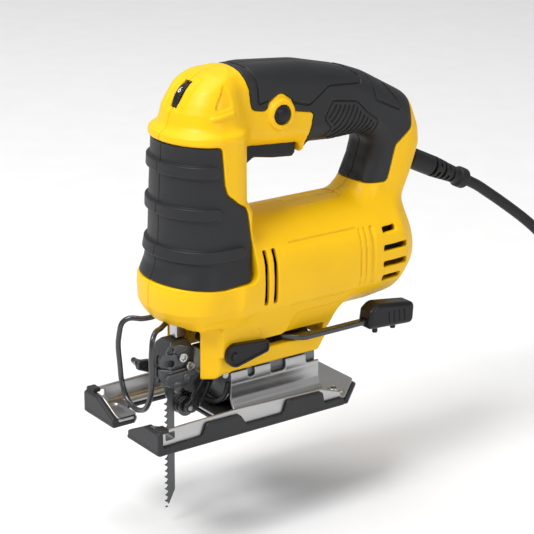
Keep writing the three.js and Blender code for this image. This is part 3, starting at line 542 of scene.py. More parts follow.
# ---- housing details
SELECTOR_ARC = (10, 45.5)
LEVER_POCKET = outline([
    [-90, 43], [-90, 60], [-66, 61.5, 20], [-35, 61, 4], [-29, 50.4, 4], [-12, 43],
])
HEAD_PANEL = outline([[9.4, 189.5, 2], [11.6, 203, 1.5], [21.4, 187.6, 2]])
LABEL_CREASES = (105.5, 68)
BARREL_GROOVES = ((-77.5, 0.5), (-81.5, 0.5), (-86.8, 1.2))  # place, half width
SCREW_PLACES = [(43, 80), (2, 176.5), (-52, 168), (-120, 168), (-118, 104), (-108, 60)]
FRONT_VENTS = (-8.5, -14.9)
REAR_VENTS = ((101.3, -105.5), (90.5, -113.4), (80.5, -113.4), (71.5, -109.5))  # height, rear end
DIAL_FACET = (28.6, 197.4)  # middle of the sloping facet on the head
DIAL_FACET_SLOPE = math.radians(50)


def selector_mark(x, z, angle):
    """A raised line beside the selector, at an angle in degrees about the arc of its boss."""
    turn = math.radians(angle)
    ends = [(SELECTOR_ARC[0] + reach * math.cos(turn), SELECTOR_ARC[1] + reach * math.sin(turn))
            for reach in (16.2, 18.4)]
    return capsule(x, z, *ends, 0.45)


def outside_of_housing(x, y, z, side):
    """The closed outer form of one half, before the rubber's recesses and the openings."""
    lower = join(lower_housing(x, y, z), barrel(x, y, z), 8)
    body = join(join(lower, column(x, y, z), 7), handle(x, y, z), handle_fillet(z))
    outward = side * y
    if side > 0:
        # the raised ring around the lock button, and the selector's boss and marks
        ring = prism(around(x, z, LOCK_BUTTON) - LOCK_RING_RADIUS, outward, 8, 19.8, 1.6)
        body = join(body, ring, 0.8)
        boss = prism(around(x, z, SELECTOR_ARC) - 20.3, outward, 20, 27.9, 0.8)
        boss = meet(boss, np.maximum(43 - z, np.minimum(chin_corner(x, y), 62 - z)), 0.6)
        body = join(body, boss, 0.6)
        marks = reduce(np.minimum, [selector_mark(x, z, angle) for angle in (60, 88, 116, 144)])
        body = join(body, prism(marks, outward, 24, 28.4, 0.2), 0.3)
    # the sunk triangle beside the dial, the ledge under it, and the facet around the dial's window
    body = engraved(body, HEAD_PANEL(x, z), 0.9, 0.3, 0.8)
    ledge = capsule(x, z, (9.4, 186.2), (22.6, 184.2), 1.1)
    body = join(body, rounded(ledge, body - 0.9, 0.7), 0.7)
    along, _ = on_facet(x, z)
    facet = rounded(np.abs(y) - 9.5, np.abs(along) - 11.5, 3)
    body = engraved(body, facet, 1.0, 0.5, 0.8)
    # two creases along the label's place, and the rings behind it
    for height in LABEL_CREASES:
        crease = box(x, outward, z, (-76, 20, height - 0.4), (-26.5, 60, height + 0.4), 0.2)
        body = engraved(body, crease, 0.5, 0.1, 0.4)
    for place, half in BARREL_GROOVES:
        groove = box(x, outward, z, (place - half, 20, 70), (place + half, 60, 105), 0.4)
        body = engraved(body, groove, 0.9, 0.1, 0.4)
    return body


def on_facet(x, z):
    """Distances along the dial's facet and out from it."""
    u, w = x - DIAL_FACET[0], z - DIAL_FACET[1]
    cosine, sine = math.cos(DIAL_FACET_SLOPE), math.sin(DIAL_FACET_SLOPE)
    return w * sine - u * cosine, u * sine + w * cosine


def dial_window(x, y, z):
    along, out = on_facet(x, z)
    slot = rounded(np.abs(y) - 3.6, np.abs(along) - 7.6, 0.6)
    return rounded(slot, -(out + 14), 0.3)


def housing_openings(x, y, z, side):
    outward = side * y
    cuts = [
        box(x, y, z, (14, -17, 18), (28.8, 17, 67), 1.5),
        box(x, y, z, (20, -14, 18), (60, 14, 63), 3),
        rounded(box(x, y, z, (-57, -21, 18), (28, 21, 61), 2), chin_corner(x, y) + WALL, 1),
        prism(np.hypot(y, z - BEVEL_AXIS_Z) - 26, x, -57.4, 10.8, 0.4),
        prism(barrel(x, y, z) + WALL, x, -200, -4, 2),
        box(x, y, z, (-46.7, -TRIGGER_HALF_WIDTH - 0.5, 149), (-7.9, TRIGGER_HALF_WIDTH + 0.5, 174), 0.5),
        dial_window(x, y, z),
        around(x, z, DIAL) - (DIAL_RADIUS + 0.7) + np.maximum(np.abs(y) - 3.2, 0) * 20,
        prism(np.hypot(x - PLUNGER_X, y) - 8, z, 50, 90, 0.5),
    ]
    for vent_x in FRONT_VENTS:
        cuts.append(box(x, outward, z, (vent_x - 1.5, 24, 72), (vent_x + 1.5, 60, 104.4), 1.2))
    for vent_z, vent_rear in REAR_VENTS:
        slot = box(x, outward, z, (vent_rear, 9, vent_z - 1.9), (-94.5, 60, vent_z + 1.9), 1.0)
        cuts.append(slot)
    for guard_y in (6, -6):
        cuts.append(np.hypot(x - 42, y - guard_y) - 2.1 + np.maximum(np.abs(z - 68) - 8, 0))
    if side > 0:
        slope = outward - 24.4 - (z - 49) * 0.22
        pocket = rounded(LEVER_POCKET(x, z), -slope, 1.0)
        cuts.append(pocket)
        cuts.append(box(x, outward, z, (-57.5, 15, 42.6), (-12.4, 40, 48.6), 0.6))
        button = around(x, z, LOCK_BUTTON) - 5.9
        cuts.append(prism(button, outward, 8.5, 30, 0.2))
        shaft = around(x, z, SELECTOR) - 3.6
        cuts.append(prism(shaft, outward, 15, 40, 0.2))
    else:
        for place in SCREW_PLACES:
            cuts.append(prism(around(x, z, place) - 3.8, outward, 11.6, 60, 0.3))
    return cuts


def housing_half(side, x, y, z):
    body = outside_of_housing(x, y, z, side)
    boot = rounded(FRONT_GRIP(x, z) - 0.5, -(column(x, y, z) + SKIN + GAP), 0.3)
    back = box(x, y, z, (-9, -26.6, 78), (4.1, 26.6, 178), 1)
    body = cut(body, cut(boot, back, 0.3), 0.3)
    grip = rounded(HANDLE_GRIP(x, z) - 0.5, -(handle_body(x, y, z) + SKIN + GAP), 0.3)
    ring = around(x, z, LOCK_BUTTON) - LOCK_RING_RADIUS
    body = cut(body, cut(grip, ring, 0.2), 0.3)
    for opening in housing_openings(x, y, z, side):
        body = cut(body, opening, 0.5)
    return clamshell_half(body, side, y)


def grip_half(whole, side, x, y, z):
    return clamshell_half(whole(x, y, z), side, y)


SCREW_LOBES = 6


def housing_screw(place, x, y, z):
    reach = around(x, z, place)
    angle = np.arctan2(z - place[1], x - place[0])
    head = prism(reach - 3.35, y, -14, -11.8, 0.6)
    stem = prism(reach - 2, y, -12, 8, 0.4)
    socket = reach - 1.45 - 0.3 * np.cos(SCREW_LOBES * angle)
    return cut(join(head, stem), rounded(socket, y + 12.9, 0.1), 0.15)


# ======== materials
def set_inputs(tree, node, inputs):
    """Gives each input a value, or a link if it is given another node's output."""
    for key, value in inputs.items():
        if isinstance(value, bpy.types.NodeSocket):
            tree.links.new(value, node.inputs[key])
        else:
            node.inputs[key].default_value = value


def add_node(tree, kind, inputs=()):
    node = tree.nodes.new("ShaderNode" + kind)
    set_inputs(tree, node, dict(inputs))
    return node


def finish_of(name, color, roughness, metallic=0.0, grain=(900, 0.12), stretch=(1, 1, 1),
              spread=0.06, rough_spread=0.1, coat=0.0, worn=0.0, specular=0.5, painted_hollow_shade=0.0):
    """A procedural finish: broad colour variation, fine grain, uneven gloss, pale worn edges, painted shade
    darkening the hollows.
    """
    material = bpy.data.materials.new(name)
    material.use_nodes = True
    tree = material.node_tree
    place = add_node(tree, "TexCoord").outputs["Object"]
    coords = add_node(tree, "Mapping", {"Vector": place, "Scale": stretch}).outputs["Vector"]

    def noise(scale, detail):
        inputs = {"Vector": coords, "Scale": scale, "Detail": detail}
        return add_node(tree, "TexNoise", inputs).outputs["Fac"]

    tones = add_node(tree, "ValToRGB", {"Fac": noise(28, 4)})
    for element, position, shade in zip(tones.color_ramp.elements, (0.35, 0.65), (1 - spread, 1 + spread)):
        element.position = position
        element.color = (*[min(1, c * shade) for c in color], 1)
    tint = tones.outputs["Color"]
    pointiness = add_node(tree, "NewGeometry").outputs["Pointiness"]
    # pale is the colour of worn edges; dark is the colour of the painted shade laid into the hollows
    pale = [min(1, c * 1.5 + 0.05) for c in color]
    dark = [c * 0.35 for c in color]
    # Pointiness finds the convex edges, paled as wear, and the concave hollows, darkened with painted shade
    for amount, start, end, shade in ((worn, 0.53, 0.62, pale), (painted_hollow_shade, 0.49, 0.42, dark)):
        if amount:
            limits = {"Value": pointiness, "From Min": start, "From Max": end, "To Max": amount}
            share = add_node(tree, "MapRange", limits).outputs["Result"]
            mix = add_node(tree, "Mix")
            mix.data_type = "RGBA"
            set_inputs(tree, mix, {"Factor": share, 6: tint, 7: (*shade, 1)})
            tint = mix.outputs[2]
    gloss = add_node(tree, "MapRange", {
        "Value": noise(grain[0] * 0.35, 3),
        "To Min": max(0.03, roughness - rough_spread),
        "To Max": min(1, roughness + rough_spread),
    })
    bump = add_node(tree, "Bump", {"Height": noise(grain[0], 3), "Strength": grain[1], "Distance": 0.0002})
    set_inputs(tree, tree.nodes["Principled BSDF"], {
        "Base Color": tint,
        "Metallic": metallic,
        "Roughness": gloss.outputs["Result"],
        "Specular IOR Level": specular,
        "Coat Weight": coat,
        "Normal": bump.outputs["Normal"],
    })
    return material


# The yellow housing gets painted shade darkening its creases and hollows, and a little pale edge wear
YELLOW = finish_of("yellow_plastic", (0.9, 0.52, 0.002), 0.4, grain=(2200, 0.07), spread=0.025, worn=0.08,
                   rough_spread=0.06, painted_hollow_shade=0.2, specular=0.28)
RUBBER = finish_of("grip_rubber", (0.017, 0.0175, 0.0195), 0.48, grain=(2600, 0.25), spread=0.08, worn=0.15,
                   specular=0.32)
BLACK = finish_of("black_plastic", (0.007, 0.007, 0.009), 0.34, grain=(2400, 0.1), spread=0.1, worn=0.2,
                  specular=0.3)
GREY = finish_of("cover_plastic", (0.02, 0.0205, 0.023), 0.42, grain=(1800, 0.14), spread=0.06, worn=0.2,
                 specular=0.35)
STEEL = finish_of("stamped_steel", (0.44, 0.44, 0.445), 0.34, metallic=1, grain=(700, 0.05),
                  stretch=(0.25, 1, 1), spread=0.05, rough_spread=0.09)
BRIGHT = finish_of("turned_steel", (0.52, 0.52, 0.53), 0.24, metallic=1, grain=(1200, 0.05), spread=0.05)
DARK_STEEL = finish_of("dark_steel", (0.16, 0.165, 0.17), 0.4, metallic=1, grain=(1200, 0.12),
                       spread=0.14, worn=0.4)
BLADE_STEEL = finish_of("blade_steel", (0.13, 0.135, 0.14), 0.36, metallic=1, grain=(900, 0.08),
                        stretch=(1, 1, 0.2), spread=0.12, worn=0.3)
BLACK_STEEL = finish_of("black_oxide", (0.014, 0.014, 0.016), 0.24, grain=(1600, 0.06), spread=0.15, worn=0.1,
                        coat=0.4, specular=0.6)
ALLOY = finish_of("cast_alloy", (0.42, 0.43, 0.44), 0.5, metallic=1, grain=(900, 0.3), spread=0.08)
CAST_DARK = finish_of("cast_dark", (0.13, 0.135, 0.14), 0.46, metallic=1, grain=(900, 0.35),
                      spread=0.12, worn=0.5)
COPPER = finish_of("copper", (0.63, 0.3, 0.14), 0.32, metallic=1, grain=(1400, 0.1), stretch=(0.2, 1, 1))
BRONZE = finish_of("sintered_bronze", (0.42, 0.28, 0.12), 0.45, metallic=1, grain=(1400, 0.3))
CARBON = finish_of("carbon", (0.02, 0.02, 0.022), 0.6, grain=(1500, 0.4))
BOARD = finish_of("circuit_board", (0.02, 0.13, 0.05), 0.3, grain=(500, 0.1), spread=0.2)
CORD_RUBBER = finish_of("cord_rubber", (0.01, 0.01, 0.012), 0.5, specular=0.3, grain=(1500, 0.12), spread=0.1)
SLOT_MATERIALS = {
    "yellow_housing": YELLOW,
    "grip_rubber": RUBBER,
    "black_plastic": BLACK,
    "grey_plastic": GREY,
    "steel": STEEL,
    "dark_steel": DARK_STEEL,
    "black_steel": BLACK_STEEL,
    "cast_alloy": ALLOY,
    "copper": COPPER,
    "bronze": BRONZE,
    "carbon": CARBON,
    "circuit_board": BOARD,
    "cord_rubber": CORD_RUBBER,
}
for part in frame["record"]["subparts"]:
    node = frame["nodes"][part["node"]]
    node.data.materials.clear()
    node.data.materials.append(SLOT_MATERIALS[part["material_slot"]])
frame["nodes"]["bevel_block"].data.materials[0] = CAST_DARK


# ======== the camera and the lights
CAMERA_TARGET = Vector((-0.03285, 0, 0.08126))  # metres
CAMERA_DISTANCE = 1.10637
CAMERA_AZIMUTH = 143.93  # in front and on the operator's left
CAMERA_ELEVATION = 18.81
CAMERA_ROLL = 0.49
SENSOR_WIDTH = 36
LENS = 125.4155
LAMP_TARGET = Vector((-0.04, 0, 0.08))
WORLD_STRENGTH = 0.45


def toward(azimuth, elevation):
    """The direction from the object to a camera or a lamp; the angles are in degrees."""
    a, e = math.radians(azimuth), math.radians(elevation)
    return Vector((math.sin(a) * math.cos(e), -math.cos(a) * math.cos(e), math.sin(e)))


def aimed_object(name, data, target, away, distance):
    """A camera or a lamp at a distance from its target, which it looks at."""
    obj = new_object(name, data)
    obj.location = target + away * distance
    obj.rotation_mode = "QUATERNION"
    obj.rotation_quaternion = (-away).to_track_quat("-Z", "Y")
    return obj


def camera():
    """At the photograph's angle."""
    data = bpy.data.cameras.new("camera")
    data.sensor_width = SENSOR_WIDTH
    data.lens = LENS
    back = toward(CAMERA_AZIMUTH, CAMERA_ELEVATION)
    obj = aimed_object("camera", data, CAMERA_TARGET, back, CAMERA_DISTANCE)
    obj.rotation_quaternion.rotate(Quaternion(back, math.radians(CAMERA_ROLL)))
    bpy.context.scene.camera = obj


def lamp(name, azimuth, elevation, distance, size, power):
    data = bpy.data.lights.new(name, "AREA")
    data.shape = "DISK"
    data.size = size
    data.energy = power
    aimed_object(name, data, LAMP_TARGET, toward(azimuth, elevation), distance)


def studio():
    world = bpy.data.worlds.new("studio")
    world.use_nodes = True
    world.node_tree.nodes["Background"].inputs["Color"].default_value = (1, 1, 1, 1)
    world.node_tree.nodes["Background"].inputs["Strength"].default_value = WORLD_STRENGTH
    bpy.context.scene.world = world
    bpy.context.scene.view_settings.view_transform = "Standard"
    lamp("key", 100, 50, 2.6, 1.1, 48)
    lamp("front_fill", 190, 20, 1.5, 0.5, 3.5)
    lamp("top", 20, 80, 2.6, 2.0, 30)


camera()
studio()


# ======== forms of the controls
TRIGGER = outline([
    [-46, 168], [-46, 152, 1.5], [-44, 149.7, 1.5], [-30, 150.9, 20], [-16.5, 153.2, 5],
    [-11.6, 150.2, 1.2], [-9.2, 150.8, 1.2], [-8.6, 153], [-8.6, 168],
])


def trigger(x, y, z):
    return rounded(TRIGGER(x, z), np.abs(y) - TRIGGER_HALF_WIDTH, 2.4)


def lock_button(x, y, z):
    reach = around(x, z, LOCK_BUTTON)
    disc = prism(reach - 5.55, y, 12, 20.9 - 0.035 * reach ** 2, 1.2)
    rim = np.abs(reach - 4.1) - 0.25
    return cut(disc, rounded(rim, 19.9 - y, 0.1), 0.3)


def speed_dial(x, y, z):
    angle = np.arctan2(z - DIAL[1], x - DIAL[0])
    knurl = 0.3 * (0.5 - 0.5 * np.cos(48 * angle)) * (np.abs(y) > 1.7)
    wheel = rounded(around(x, z, DIAL) - DIAL_RADIUS + knurl, np.abs(y) - 2.8, 0.5)
    return join(wheel, rounded(around(x, z, DIAL) - 2, np.abs(y) - 6, 0.3))


SELECTOR_TIP = (-9, 46)


def orbit_selector(x, y, z):
    plan = tapered(x, z, SELECTOR, SELECTOR_TIP, 7, 3.9)
    plan = meet(plan, -12.2 - x, 1)
    lever = prism(plan, y, 27.7, 32.2, 0.7)
    hollow = rounded(plan + 1.6, 31.2 - y, 0.3)
    lever = cut(lever, hollow, 0.5)
    boss = prism(around(x, z, (12.2, 44.2)) - 2.3, y, 28, 32.2, 0.5)
    lever = join(lever, boss, 0.5)
    return join(lever, prism(around(x, z, SELECTOR) - 3.2, y, -8, 28, 0.3))


BEVEL_ARM = outline([
    [-24, -5, 6], [-22, 4, 5], [-27, 22, 6], [-36, 33.2, 8], [-95, 33.2], [-95, 28.2],
    [-45, 28.2, 8], [-37, 18, 8], [-34, 3, 5], [-32, -5, 6],
])


def bevel_arm(x, y, z):
    plate = prism(BEVEL_ARM(x, y), z, 44, 47, 0.6)
    return cut(plate, around(x, y, (-28, 0)) - 2.8)


BEVEL_KNOB = outline([
    [-82.4, 41.4, 3], [-117.6, 39.2, 4], [-118.4, 52.8, 4], [-89.5, 56.8, 7], [-84, 52.8, 3],
])


def bevel_knob(x, y, z):
    block = prism(BEVEL_KNOB(x, z), y, 24.6, 36.9, 2.6)
    for line_x in (-110, -106, -102, -98):
        groove = capsule(x, z, (line_x, 43.6), (line_x + 0.8, 50.2), 0.55)
        block = cut(block, rounded(groove, 36.2 - y, 0.1), 0.4)
    for stud_x in (-92, -106):
        stud = prism(around(x, y, (stud_x, 30.5)) - 1.7, z, 36.6, 44, 0.5)
        block = join(block, stud, 0.6)
    return cut(block, box(x, y, z, (-95.5, 27.9, 43.7), (-80, 33.5, 47.3)), 0.2)


# ======== forms of the shoe
PLATE_HALF_WIDTH = 38.8
PLATE_FRONT = 67.2
PLATE_REAR = -85
PLATE_BOTTOM = 2.3
COVER_HALF_WIDTH = 41
COVER_FRONT = 71
COVER_REAR = -86


def shoe_plan(half_width, front, rear):
    return mirrored([[rear, half_width - 20, 3], [rear + 22, half_width, 3], [front, half_width, 2.5]])


PLATE_PLAN = shoe_plan(PLATE_HALF_WIDTH, PLATE_FRONT, PLATE_REAR)
COVER_PLAN = shoe_plan(COVER_HALF_WIDTH, COVER_FRONT, COVER_REAR)
BLADE_OPENING = mirrored([[17, 28, 2], [47, 28, 4], [52, 23, 2], [52, 12, 3], [56.5, 7.5, 2], [90, 7.5]])
BOLT_RECESS = mirrored([[-36, 18, 3], [-20, 18, 3]])
FLANGE = outline([
    [PLATE_FRONT, 1], [-60, 1], [-60, 8, 2], [-45, 13.2, 8], [15, 15.2, 16], [PLATE_FRONT, 14, 2.5],
])
FRONT_LIP = outline([
    [9, 1], [9, 4.2, 1], [25.5, 12.3, 3], [PLATE_HALF_WIDTH, 12.8], [PLATE_HALF_WIDTH, 1],
])
FRONT_WEDGE = outline([
    [8.2, 0], [8.2, 5, 1.6], [25.6, 13.5, 5], [39.4, 13.5, 1.5],
    [COVER_HALF_WIDTH, 12, 1.5], [COVER_HALF_WIDTH, 0, 1],
])
SIDE_TABS = outline([
    [69.8, 0], [-61, 0], [-61, 4.6], [-46.6, 4.6, 1], [-45.2, 12, 2.5], [-19, 12.6, 2.5],
    [-16.4, 5, 1.5], [10, 5, 1.5], [14.6, 11.9, 2.5], [38, 12.1, 2.5], [40.8, 5, 1.5],
    [66.5, 4.4, 1], [69.8, 5],
])


def shoe_plate(x, y, z):
    """The stamped plate, its sides and front edges turned up."""
    across = np.abs(y)
    plate = prism(PLATE_PLAN(x, y), z, PLATE_BOTTOM, 4.3, 0.4)
    plate = join(plate, prism(FLANGE(x, z), across, 37, PLATE_HALF_WIDTH, 0.5), 2.4)
    lip = prism(FRONT_LIP(across, z), x, 65.5, PLATE_FRONT, 0.4)
    plate = join(plate, lip, 2.4)
    # the bends are round outside too
    plate = meet(plate, rounded(across - PLATE_HALF_WIDTH, PLATE_BOTTOM - z, 2.2))
    plate = meet(plate, rounded(x - PLATE_FRONT, PLATE_BOTTOM - z, 1.6))
    pocket = prism(slab(x, 54.5, 63.5), across, 15, 31, 2.5)
    plate = cut(plate, prism(pocket, z, 3.4, 9, 0.3), 0.8)
    rib = capsule(x, across, (18, 32.6), (47, 32.6), 1.3)
    plate = join(plate, prism(rib, z, 3, 5.2, 0.8), 1.2)
    ridge = capsule(x, across, (-66, 32), (-80.4, 18.9), 1.7)
    plate = join(plate, prism(ridge, z, 3, 5.4, 0.9), 1.6)
    for dimple in ((-44, 33.2), (-19.5, 33.4), (8, 33.4)):
        bump = np.sqrt(around(x, across, dimple) ** 2 + (z - 5.2) ** 2) - 1.5
        plate = cut(plate, bump, 0.4)
    plate = cut(plate, BLADE_OPENING(x, y) - 0.5, 0.4)
    plate = cut(plate, BOLT_RECESS(x, y) - 0.5, 0.4)
    window = prism(slab(x, 58.7, 64.7), z, 7.6, 12.2, 0.6)
    return cut(plate, prism(window, across, 34, 42, 0.1), 0.3)


def shoe_cover(x, y, z):
    """The dark slip-on cover under and around the plate."""
    across = np.abs(y)
    cover = prism(COVER_PLAN(x, y), z, 0, 2, 0.7)
    cover = join(cover, prism(FRONT_WEDGE(across, z), x, 67.5, COVER_FRONT, 0.9), 0.8)
    cap = box(x, across, z, (63.4, 33.5, 12.6), (69.4, 40.6, 15.3), 0.8)
    cover = join(cover, cap, 0.8)
    cover = join(cover, prism(SIDE_TABS(x, z), across, 39.1, COVER_HALF_WIDTH, 0.7), 0.8)
    bead = prism(np.abs(across - 8.9) - 0.7, x, 52, COVER_FRONT, 0.4)
    cover = join(cover, prism(bead, z, 0.4, 4.8, 0.4), 0.3)
    return cut(cut(cover, BLADE_OPENING(x, y), 0.3), BOLT_RECESS(x, y), 0.3)


CRADLE_LEG = line([[19.6, 21], [20, 13.2, 5], [21.6, 8.6, 5], [24.9, 5.5, 4], [30.2, 5.5]])
CRADLE_NOTCHES = ((-9.5, -4.5, 24.2), (-32, -21, 22.8), (-60, -47, 23.6))


def cradle(x, y, z):
    """Half pipe around the bevel axis, flared into flanges that stand on the plate."""
    across = np.abs(y)
    radius = np.hypot(y, z - BEVEL_AXIS_Z)
    pipe = meet(np.abs(radius - 20.1) - 0.9, z - BEVEL_AXIS_Z - across * 0.176, 0.4)
    sheet = join(pipe, CRADLE_LEG(across, z) - 0.9, 1.2)
    sheet = prism(sheet, x, -57, 7.5, 0.35)
    for rear, front, bottom in CRADLE_NOTCHES:
        notch = rounded(slab(x, rear, front), bottom - z, 2)
        sheet = cut(sheet, np.maximum(notch, 15 - across), 0.4)
    bolt_slot = rounded(slab(x, -31.5, -24.5), across - 17, 3)
    return cut(sheet, np.maximum(bolt_slot, z - 18), 0.3)


def cradle_insert(x, y, z):
    """Dark bearing shell in the front end of the cradle."""
    radius = np.hypot(y, z - BEVEL_AXIS_Z)
    shell = prism(np.abs(radius - 19.6) - 1.0, x, 7.9, 10.2, 0.4)
    rim = prism(np.abs(radius - 20) - 1.3, x, 9, 10.2, 0.4)
    return meet(join(shell, rim, 0.6), z - 24, 0.5)


def rivet(side, x, y, z):
    distance = around(x, y, (-62, side * 29))
    flare = prism(distance - 4.1 + (z - 4.6) * 0.35, z, 4.6, 7.2, 0.6)
    return cut(flare, rounded(distance - 1.7, 5 - z, 0.1), 0.5)


# ======== forms of the blade, its clamp and its guides
CLAMP = outline([
    [28, 51, 1.2], [25, 44, 2], [25, 31, 2], [28, 23.4, 2], [41, 23.4, 2.5], [45.5, 29, 2],
    [45.5, 41, 2], [39, 51, 1.2],
])
CLAMP_SCREWS = [(33.5, 41.5), (28.6, 35.5)]
CLAMP_PIN = (31.6, 29.5)


def blade_clamp(x, y, z):
    """Cast head with corner facets, a waist, a jaw plate on its left and a dished foot."""
    block = rounded(CLAMP(x, z), np.abs(y) - 8.5, 1)
    corner = (x - 45.5) * 0.75 + (np.abs(y) - 8.5) * 0.66 + 3.4
    block = meet(block, corner, 0.4)
    crown = (z - 51) * 0.7 + (np.abs(y) - 8.5) * 0.7 + 2.6
    block = meet(block, crown, 0.4)
    block = engraved(block, slab(z, 34.4, 35.8), 1.6, 0.2, 0.5)
    for place, radius, bottom in (((40.6, 46.2), 2.3, 5.5), ((41, 38.2), 2.5, 4.8)):
        block = cut(block, rounded(around(x, z, place) - radius, bottom - y, 0.3), 0.4)
    facet = np.abs(x - 36.5) * 0.5 + np.abs(z - 46.5) - 3
    block = cut(block, rounded(facet, 7.4 - y, 0.3), 0.6)
    foot = prism(around(x, y, (35, 0)) - 9.4, z, 23.4, 26.6, 1.2)
    block = join(block, foot, 0.8)
    jaw = prism(tapered(x, z, (27, 31), (42.5, 29.8), 2.2, 2.9), y, 7.2, 10.2, 0.5)
    block = join(block, jaw, 0.4)
    slot = rounded(slab(x, 33.7, 60), np.abs(y) - 0.9, 0.1)
    block = cut(block, np.maximum(slot, z - 42.3), 0.3)
    side_step = box(x, y, z, (38, -20, 24.5), (60, -5.4, 39), 0.5)
    block = cut(block, side_step, 0.4)
    return cut(block, around(x, z, CLAMP_PIN) - 1.7, 0.2)


def clamp_screw(place, x, y, z):
    reach = around(x, z, place)
    head = prism(reach - 2.85, y, 8.8, 10.6, 0.35)
    stem = prism(reach - 2.1, y, 4.5, 9, 0.1)
    angle = np.arctan2(z - place[1], x - place[0])
    hexagon = reach * np.cos((angle + 0.2) % (math.pi / 3) - math.pi / 6) - 1.5
    return cut(join(head, stem), rounded(hexagon, 9.5 - y, 0.1), 0.2)


def clamp_pin(x, y, z):
    reach = around(x, z, CLAMP_PIN)
    stem = prism(reach - 1.6, y, -12.5, 10, 0.3)
    head = prism(reach - 2.3, y, 8.8, 11, 0.5)
    return cut(join(stem, head), rounded(reach - 1, 10.3 - y, 0.1), 0.3)


CLAMP_LEVER = outline([
    [29.6, 33.4, 2], [30.4, 26, 2.5], [38, 25.6, 3], [52.4, 31.6, 1.5], [53, 37.2, 1.5],
    [45, 36.6, 3], [38, 34, 3],
])


def clamp_lever(x, y, z):
    plate = prism(CLAMP_LEVER(x, z), y, -12.5, -8.8, 0.9)
    tab = prism(tapered(x, z, (49.4, 33.6), (51, 35.4), 2, 1.8), y, -17.4, -11, 0.8)
    lever = join(plate, tab, 1.2)
    hollow = tapered(x, z, (38, 30.4), (47.5, 33.6), 1.1, 1.1)
    lever = cut(lever, rounded(hollow, y + 11.6, 0.2), 0.5)
    return cut(lever, around(x, z, CLAMP_PIN) - 1.9, 0.2)


TOOTH_PITCH = 3.9
FIRST_TOOTH_Z = -55.6


def blade_corners():
    corners = [[34, 42], [34, -45.5, 1], [39.4, -56.2, 0.4]]
    z = FIRST_TOOTH_Z
    while z < 12:
        corners.append([41, z])
        corners.append([39.2, z + 0.4, 0.3])
        corners.append([38.3, z + 1.9, 0.7])
        z += TOOTH_PITCH
    return corners + [[39.8, 16, 2], [40.4, 20, 3], [40.4, 42]]


BLADE = outline(blade_corners())


def blade(x, y, z):
    """The teeth lean left and right in turn."""
    turn = math.pi * (z - FIRST_TOOTH_Z) / TOOTH_PITCH + math.pi / 2
    lean = 0.2 * np.sin(turn) * np.clip((x - 38) / 3, 0, 1)
    return rounded(BLADE(x, z), np.abs(y - lean) - 0.6, 0.12)


def plunger(x, y, z):
    bar = prism(rounded(np.abs(x - PLUNGER_X) - 3.5, np.abs(y) - 3.5, 0.6), z, 51.3, 152, 0.5)
    gear_z = MOTOR_Z + 26.25
    yoke = box(x, y, z, (22, -16.5, gear_z - 8.5), (28.2, 16.5, gear_z + 8.5), 0.8)
    slot = box(x, y, z, (20, -13.2, gear_z - 4.2), (27.1, 13.2, gear_z + 4.2), 1)
    return cut(join(bar, yoke, 0.6), slot, 0.2)


ROLLER = (27.7, 7.6)
FORK = outline([
    [8, 34, 3], [8.5, 25, 4], [17, 10, 5], [24, 3.6, 4], [31, 4.5, 3], [31, 10, 3], [26, 13, 3],
    [17.5, 26, 4], [16.5, 40.8, 1], [9.5, 40.8, 1],
])


def orbit_fork(x, y, z):
    fork = rounded(FORK(x, z), np.abs(y) - 7.4, 0.8)
    room = box(x, y, z, (24, -4.7, -2), (40, 4.7, 20), 0.3)
    fork = cut(fork, room, 0.4)
    fork = cut(fork, rounded(around(x, z, ROLLER) - 6.8, np.abs(y) - 4.7, 0.2), 0.3)
    lightening = rounded(tapered(x, z, (15.5, 20), (21, 9.4), 1.6, 1.2), 6.6 - np.abs(y), 0.2)
    fork = cut(fork, lightening, 0.4)
    fork = cut(fork, around(x, z, ROLLER) - 1.8, 0.2)
    return cut(fork, around(x, z, (12.5, 30)) - 2.3, 0.2)


def guide_roller(x, y, z):
    reach = around(x, z, ROLLER)
    groove = 1.2 * np.clip(1.7 - np.abs(y), 0, 0.8) / 0.8
    roller = rounded(reach - 6 + groove, np.abs(y) - 4.4, 0.5)
    return cut(roller, reach - 1.8, 0.2)


# ======== forms of the cord's pieces
RELIEF_START = (-129, 0, 137.8)
RELIEF_DIRECTION = Vector((-44.7, 0, -20.8)).normalized()
RELIEF_PROFILE = outline([
    [2, -8], [2, 5.6, 0.5], [12, 5.6], [12, 6.6, 0.5], [36, 6.6, 6], [48, 5.6, 6], [56, 5.1, 1],
    [57.4, 6.6, 0.8], [63.9, 6.6, 1.6], [63.9, -8],
])


def strain_relief(x, y, z):
    u, w = x - RELIEF_START[0], z - RELIEF_START[2]
    along = u * RELIEF_DIRECTION.x + w * RELIEF_DIRECTION.z
    across = w * RELIEF_DIRECTION.x - u * RELIEF_DIRECTION.z
    body = RELIEF_PROFILE(along, np.hypot(across, y))
    body = np.maximum(body, np.hypot(across, y) - 7)
    for ring in range(5):
        place = 32.5 + 4.4 * ring
        slot = rounded(np.abs(along - place) - 0.9, 4.2 - np.hypot(across, y), 0.2)
        gap = np.abs(across) - 1.6 if ring % 2 else np.abs(y) - 1.6
        body = cut(body, np.maximum(slot, -gap), 0.4)
    return body


PLUG_START = (-374, -35.5, -55)
PLUG_PROFILE = outline([
    [0, -14], [0, 4, 0.8], [14, 5, 4], [21, 8.5, 5], [29, 11, 5], [46, 11, 2], [46, -14],
])


def plug_body(x, y, z):
    along = x - PLUG_START[0]
    v, w = y - PLUG_START[1], z - PLUG_START[2]
    body = PLUG_PROFILE(along, np.hypot(v, w))
    body = meet(body, np.abs(w) - 8.6 - np.clip((along - 30) * 0.4, 0, 3), 1.5)
    for ridge in range(5):
        place = 27 + 3 * ridge
        groove = rounded(np.abs(along - place) - 0.7, 8.6 - np.abs(w), 0.2)
        body = cut(body, np.maximum(groove, np.abs(v) - 7), 0.5)
    for ring in range(3):
        body = cut(body, rounded(np.abs(along - 4 - 4 * ring) - 0.6, 3.6 - np.hypot(v, w), 0.2), 0.4)
    return body


